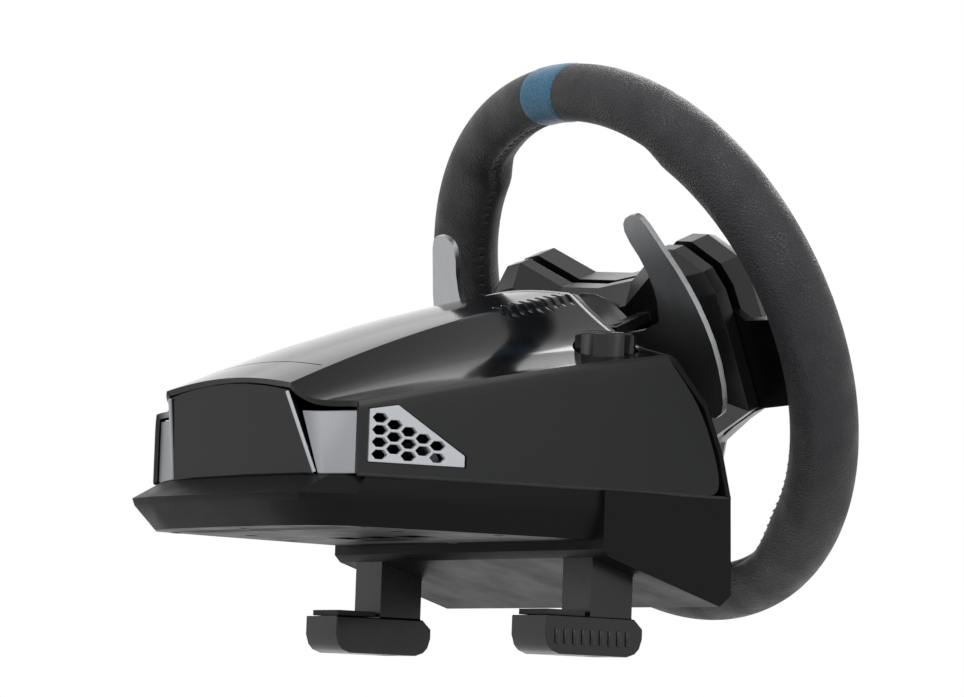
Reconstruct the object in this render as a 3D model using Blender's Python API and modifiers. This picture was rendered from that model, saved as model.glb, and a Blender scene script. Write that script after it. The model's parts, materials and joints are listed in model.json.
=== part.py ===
"""Racing wheel: a desk-clamped wheel base with a geared drive and a three-spoke steering wheel.

Frame: +X to the driver's right, +Y forward (away from the driver), +Z up, in metres.
The origin lies on the flat underside of the tray, on the base's centre plane.
"""
import math

import bmesh
import bpy
from mathutils import Matrix, Vector

MM = 0.001
FIT = 0.3 * MM            # gap between pieces that touch
RUN = 0.4 * MM            # gap round a piece that slides or turns

# Steering wheel, in the wheel's own frame: x right, y up the wheel plane, z towards the driver
WHEEL_Y = -110 * MM
WHEEL_Z = 93 * MM
WHEEL_LEAN = math.radians(24.3)
RIM_RADIUS = 130 * MM
RIM_TUBE_RADIAL = 12.5 * MM
RIM_TUBE_AXIAL = 14.5 * MM
RIM_WRAP = 4.5 * MM
RIM_BED = 1.3 * MM         # foam between the wrap and the core
THUMB_REST = 6 * MM
THUMB_REST_ANGLE = math.radians(36)
THUMB_REST_BLEND = math.radians(7)
MARK_WIDTH = 23 * MM
SPOKE_PLATE = 4 * MM
SPOKE_PLATE_Z = -6 * MM
SPOKE_RISE = 8 * MM
SPOKE_DROP = 30 * MM
LOWER_SPOKE_HALF = 19 * MM

# Hub housing
POD_X = 56 * MM
POD_Y = 16 * MM
POD_OUTER = 79 * MM
POD_TOP = 46 * MM
HUB_TOP = 31 * MM
HUB_BOTTOM = 50 * MM
HUB_FRONT_DEPTH = 15 * MM
HUB_BACK_DEPTH = 14 * MM
HUB_CAP_RADIUS = 24 * MM
HUB_CAP_RISE = 5 * MM
HUB_CAP_SINK = 2 * MM
COLUMN_RADIUS = 24 * MM
COLUMN_END = 50 * MM

# Controls on the hub
BUTTON_TRAVEL = 1.5 * MM
BUTTON_DEPTH = 6 * MM
BUTTON_RISE = 3 * MM
ACTION_RADIUS = 4.8 * MM
ACTION_SPREAD = 10 * MM
AUX_RADIUS = 4.2 * MM
SMALL_RADIUS = 3.2 * MM
HOME_RADIUS = 5.5 * MM
DPAD_SPAN = 23 * MM
DPAD_ARM = 8 * MM
DIAL_RADIUS = 10 * MM
DIAL_CORE_RADIUS = 4.6 * MM
DIAL_RISE = 6 * MM

# Shift paddles
PADDLE_Z = -35 * MM
PADDLE_THICK = 2.6 * MM
PADDLE_PIVOT_X = 36 * MM
PADDLE_PIVOT_Y = 4 * MM
PADDLE_PIN_RADIUS = 2 * MM
PADDLE_PIN_LENGTH = 34 * MM

# Geared drive on the steering axis; distances run forward from the wheel's centre
MODULE = 1.0 * MM
GEAR_TEETH = 64
PINION_TEETH = 16
GEAR_START = 86 * MM
GEAR_WIDTH = 10 * MM
SHAFT_RADIUS = 8 * MM
SHAFT_BORE = 4 * MM
SHAFT_END = 124 * MM
BEARING_RADIUS = 14 * MM
BEARING_WIDTH = 8 * MM
PLATE_THICK = 8 * MM
REAR_PLATE_AT = 75 * MM
MOTOR_PLATE_AT = 108 * MM
MOTOR_RADIUS = 14 * MM
MOTOR_LENGTH = 44 * MM
MOTOR_SHAFT_RADIUS = 2 * MM
PLATE_WALL = 8 * MM

# Base: wall half-width, shoulder, valley and crease follow the distance t forward of the shell's rear edge
SHELL_REAR = -48 * MM
SHELL_FRONT = 107 * MM
SHELL_WALL = 2.5 * MM
REAR_HALF_WIDTH = 98 * MM
SHOULDER_REAR_Z = 80 * MM
VALLEY_REAR_X = 68 * MM
VALLEY_REAR_Z = 87 * MM
CREASE_REAR_X = 36 * MM
CREASE_REAR_Z = 109 * MM
CROWN = 4 * MM
PARTING_Z = 21 * MM
WALL_FOOT_Y = -81 * MM
CORNER_FRONT_Y = 93 * MM
FASCIA_FOOT_Y = 98 * MM
FASCIA_FOOT_HALF = 54 * MM
PANEL_THICK = 2.6 * MM

# Tray and its rear drop
TRAY_TIP_Y = 117 * MM
TRAY_TIP_Z = 13 * MM
TRAY_FOOT_Y = 107 * MM
TRAY_WALL = 4 * MM
TRAY_FLOOR = 4 * MM
TABLE_EDGE_Y = -18 * MM
DROP_FRONT_Z = -7 * MM
DROP_REAR_Z = -25 * MM
DROP_REAR_Y = -87 * MM

# Side vents
VENT_REAR_Y = 45 * MM
VENT_PEAK_Y = 76 * MM
VENT_FLOOR_Z = 26 * MM
VENT_TAIL = 5 * MM
HEX_LENGTH = 7.2 * MM
HEX_HEIGHT = 3.9 * MM
HEX_PITCH_Y = 6.5 * MM
HEX_PITCH_Z = 5.0 * MM
HEX_MARGIN = 0.9 * MM

# Desk clamps
CLAMP_INSET = 22 * MM      # clamp screw in from the widest side of the base
CLAMP_X = REAR_HALF_WIDTH - CLAMP_INSET
CLAMP_Y = -32.5 * MM
KNOB_RADIUS = 13 * MM
KNOB_TOP_Z = 88 * MM
KNOB_FLUTES = 12
KNOB_FLUTE_DEPTH = 1.3 * MM
SCREW_RADIUS = 4 * MM
SCREW_FOOT_Z = -28 * MM
GUIDE_TOP_Z = 66 * MM
GUIDE_WALL = 3 * MM
GUIDE_CAP = 4 * MM
COLUMN_X = 20 * MM
COLUMN_Y = 22 * MM
COLUMN_TOP_Z = 20 * MM
JAW_TOP_Z = -32 * MM
JAW_THICK = 16 * MM
JAW_REAR_Y = -48 * MM
JAW_FRONT_Y = 3 * MM
JAW_WIDTH = 24 * MM
JAW_HEEL_DROP = 4 * MM
JAW_TOE = 5.6 * MM
PAD_THICK = 2.4 * MM
PAD_LENGTH = 20 * MM

# Underside fittings
FOOT_LENGTH = 120 * MM
FOOT_WIDTH = 12 * MM
FOOT_THICK = 2 * MM
FOOT_FRONT_Y = 86 * MM
FOOT_REAR_Y = -2 * MM
BOLT_X = 54 * MM
BOLT_Y = 56 * MM
BOLT_BORE = 3.2 * MM
BOLT_DEPTH = 12 * MM
PORT_Y = 26 * MM
PORT_PITCH = 24 * MM
PORT_LENGTH = 16 * MM
PORT_WIDTH = 12 * MM
PORT_DEPTH = 11 * MM
PORT_RECESS = 3 * MM
PORT_WALL = 2 * MM
BOARD_THICK = 1.6 * MM
BOARD_WIDTH = 80 * MM
BOARD_LENGTH = 40 * MM
BOARD_Y = 68 * MM
BOARD_STANDOFF = 5 * MM
POST_RADIUS = 3 * MM
POST_INSET = 4 * MM

for stale in list(bpy.data.objects):
    bpy.data.objects.remove(stale, do_unlink=True)

parts = bpy.data.collections.new("racing_wheel")
cutters = bpy.data.collections.new("cutters")
bpy.context.scene.collection.children.link(parts)
bpy.context.scene.collection.children.link(cutters)


# Materials
def material(name, colour, roughness, metallic=0.0):
    made = bpy.data.materials.new(name)
    made.use_nodes = True
    shader = made.node_tree.nodes["Principled BSDF"]
    shader.inputs["Base Color"].default_value = (*colour, 1.0)
    shader.inputs["Roughness"].default_value = roughness
    shader.inputs["Metallic"].default_value = metallic
    return made


GLOSS_BLACK = material("gloss_black_plastic", (0.012, 0.013, 0.015), 0.14)
SATIN_BLACK = material("satin_black_plastic", (0.018, 0.019, 0.021), 0.42)
LEATHER = material("black_leather", (0.014, 0.014, 0.015), 0.55)
BLUE_LEATHER = material("blue_leather", (0.02, 0.10, 0.38), 0.5)
STEEL = material("brushed_steel", (0.55, 0.56, 0.58), 0.28, 1.0)
ALUMINIUM = material("dark_aluminium", (0.10, 0.10, 0.11), 0.35, 1.0)
RUBBER = material("rubber", (0.02, 0.02, 0.02), 0.8)
BRASS = material("brass", (0.62, 0.45, 0.18), 0.35, 1.0)
NYLON = material("white_nylon", (0.75, 0.74, 0.70), 0.5)
BOARD_GREEN = material("board_green", (0.02, 0.16, 0.07), 0.5)
SILVER = material("silver_plastic", (0.42, 0.43, 0.45), 0.3, 0.6)
RED = material("red_plastic", (0.45, 0.02, 0.02), 0.35)


# Modelling helpers
def add(name, mesh, finish=None, parent=None, cutter=False):
    """Put a mesh in the scene as a part, or as a hidden cutter."""
    made = bpy.data.objects.new(name, mesh)
    (cutters if cutter else parts).objects.link(made)
    if finish:
        mesh.materials.append(finish)
    if cutter:
        made.hide_render = True
        made.display_type = 'WIRE'
    made.parent = parent
    return made


def mesh_from(name, build, facet=False):
    """Fill a new mesh by a bmesh function, flat-faceted if asked, and make its faces point out."""
    mesh = bpy.data.meshes.new(name)
    bm = bmesh.new()
    build(bm)
    bmesh.ops.remove_doubles(bm, verts=bm.verts, dist=1e-7)
    if facet:
        bmesh.ops.triangulate(bm, faces=bm.faces)
    bmesh.ops.recalc_face_normals(bm, faces=bm.faces)
    bm.to_mesh(mesh)
    bm.free()
    return mesh


def box_mesh(name, low, high):
    low = Vector(low)
    high = Vector(high)

    def build(bm):
        size = high - low
        place = Matrix.Translation((low + high) / 2) @ Matrix.Diagonal((*size, 1.0))
        bmesh.ops.create_cube(bm, size=1.0, matrix=place)
    return mesh_from(name, build)


def turned_mesh(name, profile, steps):
    """Turn a closed or axis-to-axis (radius, z) profile about Z."""
    def build(bm):
        ring = [bm.verts.new((radius, 0.0, z)) for radius, z in profile]
        closed = min(radius for radius, _ in profile) > 0
        pairs = list(zip(ring, ring[1:])) + ([(ring[-1], ring[0])] if closed else [])
        edges = [bm.edges.new(pair) for pair in pairs]
        bmesh.ops.spin(bm, geom=ring + edges, cent=(0, 0, 0), axis=(0, 0, 1),
                       angle=math.tau, steps=steps, use_merge=True)
    return mesh_from(name, build)


def cylinder_profile(radius, low, high, edge=0.0, bore=0.0):
    """Half section of a cylinder with broken outer edges, solid or bored."""
    outer = [(radius - edge, high), (radius, high - edge), (radius, low + edge), (radius - edge, low)]
    if not edge:
        outer = [(radius, high), (radius, low)]
    return [(bore, high), *outer, (bore, low)]


def slab_mesh(name, outline, low, high):
    """One flat outline pulled up from z low to z high."""
    def build(bm):
        face = bm.faces.new([bm.verts.new((x, y, low)) for x, y in outline])
        pulled = bmesh.ops.extrude_face_region(bm, geom=[face])
        top = [item for item in pulled["geom"] if isinstance(item, bmesh.types.BMVert)]
        bmesh.ops.translate(bm, verts=top, vec=(0, 0, high - low))
    return mesh_from(name, build)


def plate_mesh(name, outlines, low, high):
    """Fill flat outlines, the first with the others as holes, from z low to z high."""
    if len(outlines) == 1:
        return slab_mesh(name, outlines[0], low, high)
    curve = bpy.data.curves.new(name, 'CURVE')
    curve.dimensions = '2D'
    curve.fill_mode = 'BOTH'
    curve.extrude = (high - low) / 2
    for outline in outlines:
        spline = curve.splines.new('POLY')
        spline.points.add(len(outline) - 1)
        for point, (x, y) in zip(spline.points, outline):
            point.co = (x, y, 0.0, 1.0)
        spline.use_cyclic_u = True
    holder = bpy.data.objects.new(name + "_outline", curve)
    cutters.objects.link(holder)
    bpy.context.view_layer.update()
    flat = bpy.data.meshes.new_from_object(holder.evaluated_get(bpy.context.evaluated_depsgraph_get()))
    bpy.data.objects.remove(holder)
    bpy.data.curves.remove(curve)
    bm = bmesh.new()
    bm.from_mesh(flat)
    bmesh.ops.remove_doubles(bm, verts=bm.verts, dist=1e-7)
    bmesh.ops.translate(bm, verts=bm.verts, vec=(0, 0, (low + high) / 2))
    bmesh.ops.recalc_face_normals(bm, faces=bm.faces)
    bm.to_mesh(flat)
    bm.free()
    return flat


def loft(bm, rings, closed_ring=True, closed_run=False, caps=False):
    """Skin a run of rings that have the same number of points."""
    rows = [[bm.verts.new(point) for point in ring] for ring in rings]
    count = len(rows[0])
    runs = len(rows) if closed_run else len(rows) - 1
    for i in range(runs):
        here = rows[i]
        there = rows[(i + 1) % len(rows)]
        for j in range(count if closed_ring else count - 1):
            k = (j + 1) % count
            bm.faces.new((here[j], here[k], there[k], there[j]))
    if caps:
        bm.faces.new(rows[0])
        bm.faces.new(rows[-1])


def moved(mesh, place):
    mesh.transform(place)
    return mesh


def joined(name, meshes):
    """Several separate bodies in one mesh."""
    def build(bm):
        for mesh in meshes:
            bm.from_mesh(mesh)
    return mesh_from(name, build)


def cut(target, cutter, operation='DIFFERENCE'):
    change = target.modifiers.new(cutter.name, 'BOOLEAN')
    change.operation = operation
    change.object = cutter
    change.solver = 'EXACT'


def soften(target, width, segments=1, angle=40):
    edge = target.modifiers.new("edges", 'BEVEL')
    edge.width = width
    edge.segments = segments
    edge.limit_method = 'ANGLE'
    edge.angle_limit = math.radians(angle)


def arc(centre, radius, start, end, steps):
    """Points on an arc, angles in degrees."""
    turn = [math.radians(start + (end - start) * i / steps) for i in range(steps + 1)]
    return [(centre[0] + radius * math.cos(a), centre[1] + radius * math.sin(a)) for a in turn]


def mirrored(points):
    """A closed outline from its right half, listed top to bottom; level ends need no middle point."""
    right = list(points)
    if right[0][0] == 0.0 and right[0][1] == right[1][1]:
        right.pop(0)
    if right[-1][0] == 0.0 and right[-1][1] == right[-2][1]:
        right.pop()
    return right + [(-x, y) for x, y in reversed(right) if x > 1e-9]


def lerp(a, b, share):
    return a + (b - a) * share


# Frames that carry the pieces
def empty(name, place, parent=None):
    made = bpy.data.objects.new(name, None)
    parts.objects.link(made)
    made.parent = parent
    made.matrix_local = place
    return made


WHEEL_PLACE = Matrix.Translation((0, WHEEL_Y, WHEEL_Z)) @ Matrix.Rotation(math.pi / 2 - WHEEL_LEAN, 4, 'X')
wheel = empty("steering_axis", WHEEL_PLACE)


# Rim
RIM_CENTRE = RIM_RADIUS - RIM_TUBE_RADIAL
CORE_RADIAL = RIM_TUBE_RADIAL - RIM_WRAP - RIM_BED
CORE_AXIAL = RIM_TUBE_AXIAL - RIM_WRAP - RIM_BED
SEAM = SPOKE_PLATE + 2 * FIT
SEAM_Z = SPOKE_PLATE_Z + SPOKE_PLATE / 2


def thumb_rest(angle):
    """How far the grip swells inwards, by angle from the top of the rim."""
    share = (angle - THUMB_REST_ANGLE) / THUMB_REST_BLEND
    lower = (math.radians(150) - angle) / (3 * THUMB_REST_BLEND)
    step = [min(1.0, max(0.0, value + 0.5)) for value in (share, lower)]
    return THUMB_REST * min(value * value * (3 - 2 * value) for value in step)


def rim_section(angle, outer_count, inner_count):
    """The grip's C-shaped section, open along the seam that faces the hub."""
    swell = thumb_rest(abs(angle))
    points = []
    for radial, axial, count, flip in ((RIM_TUBE_RADIAL, RIM_TUBE_AXIAL, outer_count, False),
                                       (CORE_RADIAL + RIM_BED, CORE_AXIAL + RIM_BED, inner_count, True)):
        top = math.asin((SEAM_Z + SEAM / 2) / axial)
        low = math.asin((SEAM_Z - SEAM / 2) / axial)
        start = math.pi - top
        end = -math.pi - low
        turn = [lerp(start, end, i / (count - 1)) for i in range(count)]
        ring = []
        for a in turn:
            inward = max(0.0, -math.cos(a))
            reach = radial + (0.0 if flip else swell * inward)
            ring.append((reach * math.cos(a), axial * math.sin(a)))
        points += reversed(ring) if flip else ring
    return points


def rim_sweep(start, end, steps, outer_count=15, inner_count=8):
    def build(bm):
        rings = []
        for i in range(steps + 1):
            angle = lerp(start, end, i / steps)
            shown = angle if angle <= math.pi else angle - math.tau
            along = Vector((math.sin(angle), math.cos(angle), 0))
            rings.append([along * (RIM_CENTRE + radial) + Vector((0, 0, axial))
                          for radial, axial in rim_section(shown, outer_count, inner_count)])
        loft(bm, rings, caps=True)
    return build


MARK_HALF = MARK_WIDTH / 2 / RIM_CENTRE
MARK_GAP = FIT / RIM_CENTRE
GRIP_START = MARK_HALF + MARK_GAP
add("rim_grip", mesh_from("rim_grip", rim_sweep(GRIP_START, math.tau - GRIP_START, 42)), LEATHER, wheel)
mark_mesh = mesh_from("rim_centre_mark", rim_sweep(-MARK_HALF, MARK_HALF, 3))
add("rim_centre_mark", mark_mesh, BLUE_LEATHER, wheel)


def core_section():
    """The steel core's oval section."""
    turn = [math.tau * i / 8 for i in range(8)]
    return [(CORE_RADIAL * math.cos(a), CORE_AXIAL * math.sin(a)) for a in turn]


def rim_core_build(bm):
    rings = []
    for i in range(36):
        angle = math.tau * i / 36
        along = Vector((math.sin(angle), math.cos(angle), 0))
        rings.append([along * (RIM_CENTRE + radial) + Vector((0, 0, axial))
                      for radial, axial in core_section()])
    loft(bm, rings, closed_run=True)


add("rim_core", mesh_from("rim_core", rim_core_build), STEEL, wheel)


# Spoke plate: left, right and lower spokes in one pressing that reaches the core through the grip's seam
SPOKE_REACH = RIM_CENTRE - CORE_RADIAL - FIT
SIDE_REACH_TOP = math.degrees(math.asin(SPOKE_RISE / SPOKE_REACH))
SIDE_REACH_LOW = math.degrees(math.asin(-SPOKE_DROP / SPOKE_REACH))
LOWER_EDGE = math.degrees(math.acos(LOWER_SPOKE_HALF / SPOKE_REACH))
spoke_half = [(0.0, HUB_TOP - 4 * MM), (POD_X * 0.6, HUB_TOP - 4 * MM),
              (POD_OUTER - 6 * MM, SPOKE_RISE + 10 * MM), (POD_OUTER + 6 * MM, SPOKE_RISE + 1 * MM)]
spoke_half += arc((0, 0), SPOKE_REACH, SIDE_REACH_TOP, SIDE_REACH_LOW, 4)
spoke_half += [(POD_OUTER, -SPOKE_DROP - 1 * MM), (HUB_BOTTOM, -SPOKE_DROP - 7 * MM),
               (LOWER_SPOKE_HALF + 4 * MM, -HUB_BOTTOM - 8 * MM)]
spoke_half += arc((0, 0), SPOKE_REACH, -LOWER_EDGE, -90, 3)
shaft_hole = arc((0, 0), SHAFT_BORE, 0, 345, 23)
spoke_mesh = plate_mesh("spoke_plate", [mirrored(spoke_half), shaft_hole], SPOKE_PLATE_Z,
                        SPOKE_PLATE_Z + SPOKE_PLATE)
add("spoke_plate", spoke_mesh, ALUMINIUM, wheel)


# Hub housing: a front half that carries the controls and a back half that carries the paddles
def hub_outline(inset):
    half = [(0.0, HUB_TOP - inset), (POD_X * 0.45, HUB_TOP + 2 * MM - inset)]
    half += [(POD_X - 6 * MM, POD_TOP - inset), (POD_X + 4 * MM, POD_TOP - 1 * MM - inset)]
    half += [(POD_OUTER - 4 * MM - inset, POD_TOP - 12 * MM), (POD_OUTER - inset, POD_Y + 8 * MM)]
    half += [(POD_OUTER - inset, SPOKE_RISE), (POD_OUTER - 2 * MM - inset, -SPOKE_DROP + inset)]
    half += [(HUB_BOTTOM - inset, -SPOKE_DROP - 10 * MM + inset), (POD_X * 0.5 - inset, -HUB_BOTTOM + inset)]
    half += [(LOWER_SPOKE_HALF - inset, -HUB_BOTTOM - 12 * MM + inset), (0.0, -HUB_BOTTOM - 14 * MM + inset)]
    return mirrored(half)


def hub_half(name, levels):
    def build(bm):
        loft(bm, [[(x, y, z) for x, y in hub_outline(inset)] for inset, z in levels], caps=True)
    return mesh_from(name, build, facet=True)


HUB_FACE_Z = SPOKE_PLATE_Z + SPOKE_PLATE + FIT + HUB_FRONT_DEPTH
HUB_SEAT_Z = SPOKE_PLATE_Z + SPOKE_PLATE + FIT
BACK_SEAT_Z = SPOKE_PLATE_Z - FIT
BACK_Z = BACK_SEAT_Z - HUB_BACK_DEPTH
front_levels = [(0, HUB_SEAT_Z), (0, HUB_FACE_Z - 5 * MM), (1.5 * MM, HUB_FACE_Z - 1.5 * MM),
                (4 * MM, HUB_FACE_Z)]
back_levels = [(0, BACK_SEAT_Z), (0, BACK_SEAT_Z - 6 * MM), (9 * MM, BACK_Z)]
hub_front = add("hub_front", hub_half("hub_front", front_levels), SATIN_BLACK, wheel)
hub_back = add("hub_back", hub_half("hub_back", back_levels), SATIN_BLACK, wheel)

# Bare round cap at the middle of the hub
cap_profile = [(0, HUB_CAP_RISE), (HUB_CAP_RADIUS * 0.6, HUB_CAP_RISE * 0.85),
               (HUB_CAP_RADIUS * 0.9, HUB_CAP_RISE * 0.5), (HUB_CAP_RADIUS, 1 * MM),
               (HUB_CAP_RADIUS, -HUB_CAP_SINK), (0, -HUB_CAP_SINK)]
CAP_PLACE = Matrix.Translation((0, 0, HUB_FACE_Z))
add("hub_cap", moved(turned_mesh("hub_cap", cap_profile, 32), CAP_PLACE), GLOSS_BLACK, wheel)
seat_shape = cylinder_profile(HUB_CAP_RADIUS + FIT, -HUB_CAP_SINK - FIT, 8 * MM)
seat_mesh = moved(turned_mesh("hub_cap_seat", seat_shape, 32), CAP_PLACE)
cut(hub_front, add("hub_cap_seat", seat_mesh, None, wheel, cutter=True))


# Push buttons, each in a blind well of the hub front
WELL_FLOOR = HUB_FACE_Z - BUTTON_DEPTH - BUTTON_TRAVEL - RUN
LOWER_ROW_Y = -SPOKE_DROP + 6 * MM
BUTTONS = {
    "action_button_top": (POD_X, POD_Y + ACTION_SPREAD, ACTION_RADIUS),
    "action_button_right": (POD_X + ACTION_SPREAD, POD_Y, ACTION_RADIUS),
    "action_button_bottom": (POD_X, POD_Y - ACTION_SPREAD, ACTION_RADIUS),
    "action_button_left": (POD_X - ACTION_SPREAD, POD_Y, ACTION_RADIUS),
    "upper_button_left": (-POD_X + 23 * MM, POD_Y + 9 * MM, SMALL_RADIUS),
    "upper_button_right": (POD_X - 23 * MM, POD_Y + 9 * MM, SMALL_RADIUS),
    "lower_button_left_outer": (-POD_X - 9 * MM, LOWER_ROW_Y + 10 * MM, AUX_RADIUS),
    "lower_button_left_inner": (-POD_X + 5 * MM, LOWER_ROW_Y + 4 * MM, AUX_RADIUS),
    "plus_button": (POD_X + 13 * MM, LOWER_ROW_Y + 14 * MM, SMALL_RADIUS),
    "minus_button": (POD_X + 13 * MM, LOWER_ROW_Y, SMALL_RADIUS),
    "home_button": (0.0, -HUB_BOTTOM + 12 * MM, HOME_RADIUS),
}
DIAL_PLACE = (POD_X - 7 * MM, LOWER_ROW_Y + 5 * MM)
DPAD_PLACE = (-POD_X, POD_Y + 1 * MM)
wells = []
for name, (x, y, radius) in BUTTONS.items():
    place = Matrix.Translation((x, y, HUB_FACE_Z))
    edge = radius * 0.22
    shape = [(0, BUTTON_RISE + 0.3 * MM), (radius - 2 * edge, BUTTON_RISE + 0.2 * MM),
             (radius - edge / 2, BUTTON_RISE - edge / 2), (radius, BUTTON_RISE - 2 * edge),
             (radius, -BUTTON_DEPTH), (0, -BUTTON_DEPTH)]
    mesh = moved(turned_mesh(name, shape, 14), place)
    add(name, mesh, SATIN_BLACK, wheel)
    well = cylinder_profile(radius + RUN, WELL_FLOOR - HUB_FACE_Z, 10 * MM)
    wells.append(moved(turned_mesh(name + "_well", well, 14), place))

# Selector dial: a knurled ring that turns round its own push button
dial_place = Matrix.Translation((*DIAL_PLACE, HUB_FACE_Z))
dial_outline = []
for i in range(24):
    a = math.tau * i / 24
    r = DIAL_RADIUS - (0.6 * MM if i % 2 else 0.0)
    dial_outline.append((r * math.cos(a), r * math.sin(a)))
dial_bore = arc((0, 0), DIAL_CORE_RADIUS + RUN, 0, 337.5, 15)
dial_mesh = plate_mesh("selector_dial", [dial_outline, dial_bore], -BUTTON_DEPTH, DIAL_RISE)
add("selector_dial", moved(dial_mesh, dial_place), RED, wheel)
dial_core = cylinder_profile(DIAL_CORE_RADIUS, -BUTTON_DEPTH, DIAL_RISE + 1.5 * MM, 1 * MM)
add("dial_button", moved(turned_mesh("dial_button", dial_core, 16), dial_place), SATIN_BLACK, wheel)
CORE_WELL = DIAL_CORE_RADIUS + RUN
DIAL_SEAT = -BUTTON_DEPTH - FIT
dial_well = [(0, 10 * MM), (DIAL_RADIUS + RUN, 10 * MM), (DIAL_RADIUS + RUN, DIAL_SEAT),
             (CORE_WELL, DIAL_SEAT), (CORE_WELL, WELL_FLOOR - HUB_FACE_Z), (0, WELL_FLOOR - HUB_FACE_Z)]
wells.append(moved(turned_mesh("dial_well", dial_well, 24), dial_place))

# Direction pad: a cross that rocks both ways on a small gimbal ball
dpad_place = Matrix.Translation((*DPAD_PLACE, HUB_FACE_Z))
arm = DPAD_ARM / 2
span = DPAD_SPAN / 2
cross = [(arm, span), (arm, arm), (span, arm), (span, -arm), (arm, -arm), (arm, -span)]
cross = cross + [(-x, -y) for x, y in cross]
DPAD_FOOT = -3 * MM
pad_mesh = plate_mesh("direction_pad", [cross], DPAD_FOOT, BUTTON_RISE + 1 * MM)
add("direction_pad", moved(pad_mesh, dpad_place), SATIN_BLACK, wheel)
GIMBAL_RADIUS = 3 * MM
GIMBAL_HEIGHT = 3 * MM
gimbal_shape = cylinder_profile(GIMBAL_RADIUS, DPAD_FOOT - GIMBAL_HEIGHT - FIT, DPAD_FOOT - FIT, 0.6 * MM)
gimbal_mesh = turned_mesh("direction_pad_gimbal", gimbal_shape, 12)
add("direction_pad_gimbal", moved(gimbal_mesh, dpad_place), NYLON, wheel)
DPAD_CLEAR = RUN + 0.6 * MM
wide = span + DPAD_CLEAR
thick = arm + DPAD_CLEAR
cross_well = [(thick, wide), (thick, thick), (wide, thick), (wide, -thick), (thick, -thick), (thick, -wide)]
cross_well = cross_well + [(-x, -y) for x, y in cross_well]
WELL_DEEP = DPAD_FOOT - GIMBAL_HEIGHT - 2 * FIT
wells.append(moved(plate_mesh("direction_pad_well", [cross_well], WELL_DEEP, 10 * MM), dpad_place))
cut(hub_front, add("control_wells", joined("control_wells", wells), None, wheel, cutter=True))

# Column shroud between the hub and the base
shroud_shape = [(SHAFT_RADIUS + FIT, BACK_Z - FIT), (COLUMN_RADIUS + 8 * MM, BACK_Z - FIT),
                (COLUMN_RADIUS + 6 * MM, BACK_Z - 4 * MM), (COLUMN_RADIUS, BACK_Z - 14 * MM),
                (COLUMN_RADIUS, -COLUMN_END), (SHAFT_RADIUS + FIT, -COLUMN_END)]
add("column_shroud", turned_mesh("column_shroud", shroud_shape, 28), SATIN_BLACK, wheel)
clear_shape = cylinder_profile(SHAFT_RADIUS + FIT, BACK_Z - 5 * MM, BACK_SEAT_Z + 5 * MM)
clear_mesh = turned_mesh("shaft_clearance", clear_shape, 24)
cut(hub_back, add("shaft_clearance", clear_mesh, None, wheel, cutter=True))


# Shift paddles: tall curved steel blades on upright pins behind the hub
def eased(points):
    """Cut the corners of an open run of points, its two ends kept."""
    run = [points[0]]
    for (ax, ay), (bx, by) in zip(points, points[1:]):
        run += [(lerp(ax, bx, 0.25), lerp(ay, by, 0.25)), (lerp(ax, bx, 0.75), lerp(ay, by, 0.75))]
    return run + [points[-1]]


def paddle_outline():
    """The blade's curved edge from its inner waist over the tip and down, then the arm that meets the pin."""
    arm_x = PADDLE_PIVOT_X / MM + 3
    blade = [(66, 20), (70, 32), (68, 46), (61.5, 60), (63, 66.5), (71, 69), (76, 66), (82, 54), (90, 38),
             (95, 22), (97, 4), (93.5, -16), (87, -25), (75, -23), (66, -10)]
    arm = [(52, -8), (arm_x, -8), (arm_x, 16), (54, 17)]
    return [(x * MM, y * MM) for x, y in eased(blade) + arm]


BARREL_HALF = 12 * MM
BARREL_RADIUS = PADDLE_PIN_RADIUS + 2.2 * MM
EAR_HALF = 4.5 * MM
EAR_THICK = 4 * MM
UPRIGHT = Matrix.Rotation(-math.pi / 2, 4, 'X')
for side, sign in (("left", -1), ("right", 1)):
    outline = [(sign * x, y) for x, y in paddle_outline()]
    if sign < 0:
        outline.reverse()
    low = PADDLE_Z - PADDLE_THICK / 2
    blade_mesh = plate_mesh("paddle_" + side, [outline], low, low + PADDLE_THICK)
    paddle = add("paddle_" + side, blade_mesh, STEEL, wheel)
    pivot = Matrix.Translation((sign * PADDLE_PIVOT_X, PADDLE_PIVOT_Y, PADDLE_Z)) @ UPRIGHT
    barrel = turned_mesh("paddle_barrel", cylinder_profile(BARREL_RADIUS, -BARREL_HALF, BARREL_HALF), 16)
    cut(paddle, add("paddle_barrel_" + side, moved(barrel, pivot), None, wheel, cutter=True), 'UNION')
    bore_shape = cylinder_profile(PADDLE_PIN_RADIUS + FIT, -2 * BARREL_HALF, 2 * BARREL_HALF)
    bore = turned_mesh("paddle_bore", bore_shape, 16)
    cut(paddle, add("paddle_bore_" + side, moved(bore, pivot), None, wheel, cutter=True))
    for end in (-1, 1):
        middle = PADDLE_PIVOT_Y + end * (BARREL_HALF + RUN + EAR_THICK / 2)
        pivot_x = sign * PADDLE_PIVOT_X
        ear = box_mesh("paddle_ear", (pivot_x - EAR_HALF, middle - EAR_THICK / 2, PADDLE_Z - EAR_HALF),
                       (pivot_x + EAR_HALF, middle + EAR_THICK / 2, BACK_SEAT_Z - 2 * MM))
        tag = side + ("_upper" if end > 0 else "_lower")
        cut(hub_back, add("paddle_ear_" + tag, ear, None, wheel, cutter=True), 'UNION')
    pin = turned_mesh("paddle_pin", cylinder_profile(PADDLE_PIN_RADIUS, -PADDLE_PIN_LENGTH / 2,
                                                     PADDLE_PIN_LENGTH / 2), 16)
    cut(hub_back, add("paddle_pin_" + side, moved(pin, pivot), None, wheel, cutter=True), 'UNION')


# Steering shaft, bearings and gears
def along(distance):
    """Depth on the steering axis, forward of the wheel's centre."""
    return -distance


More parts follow.
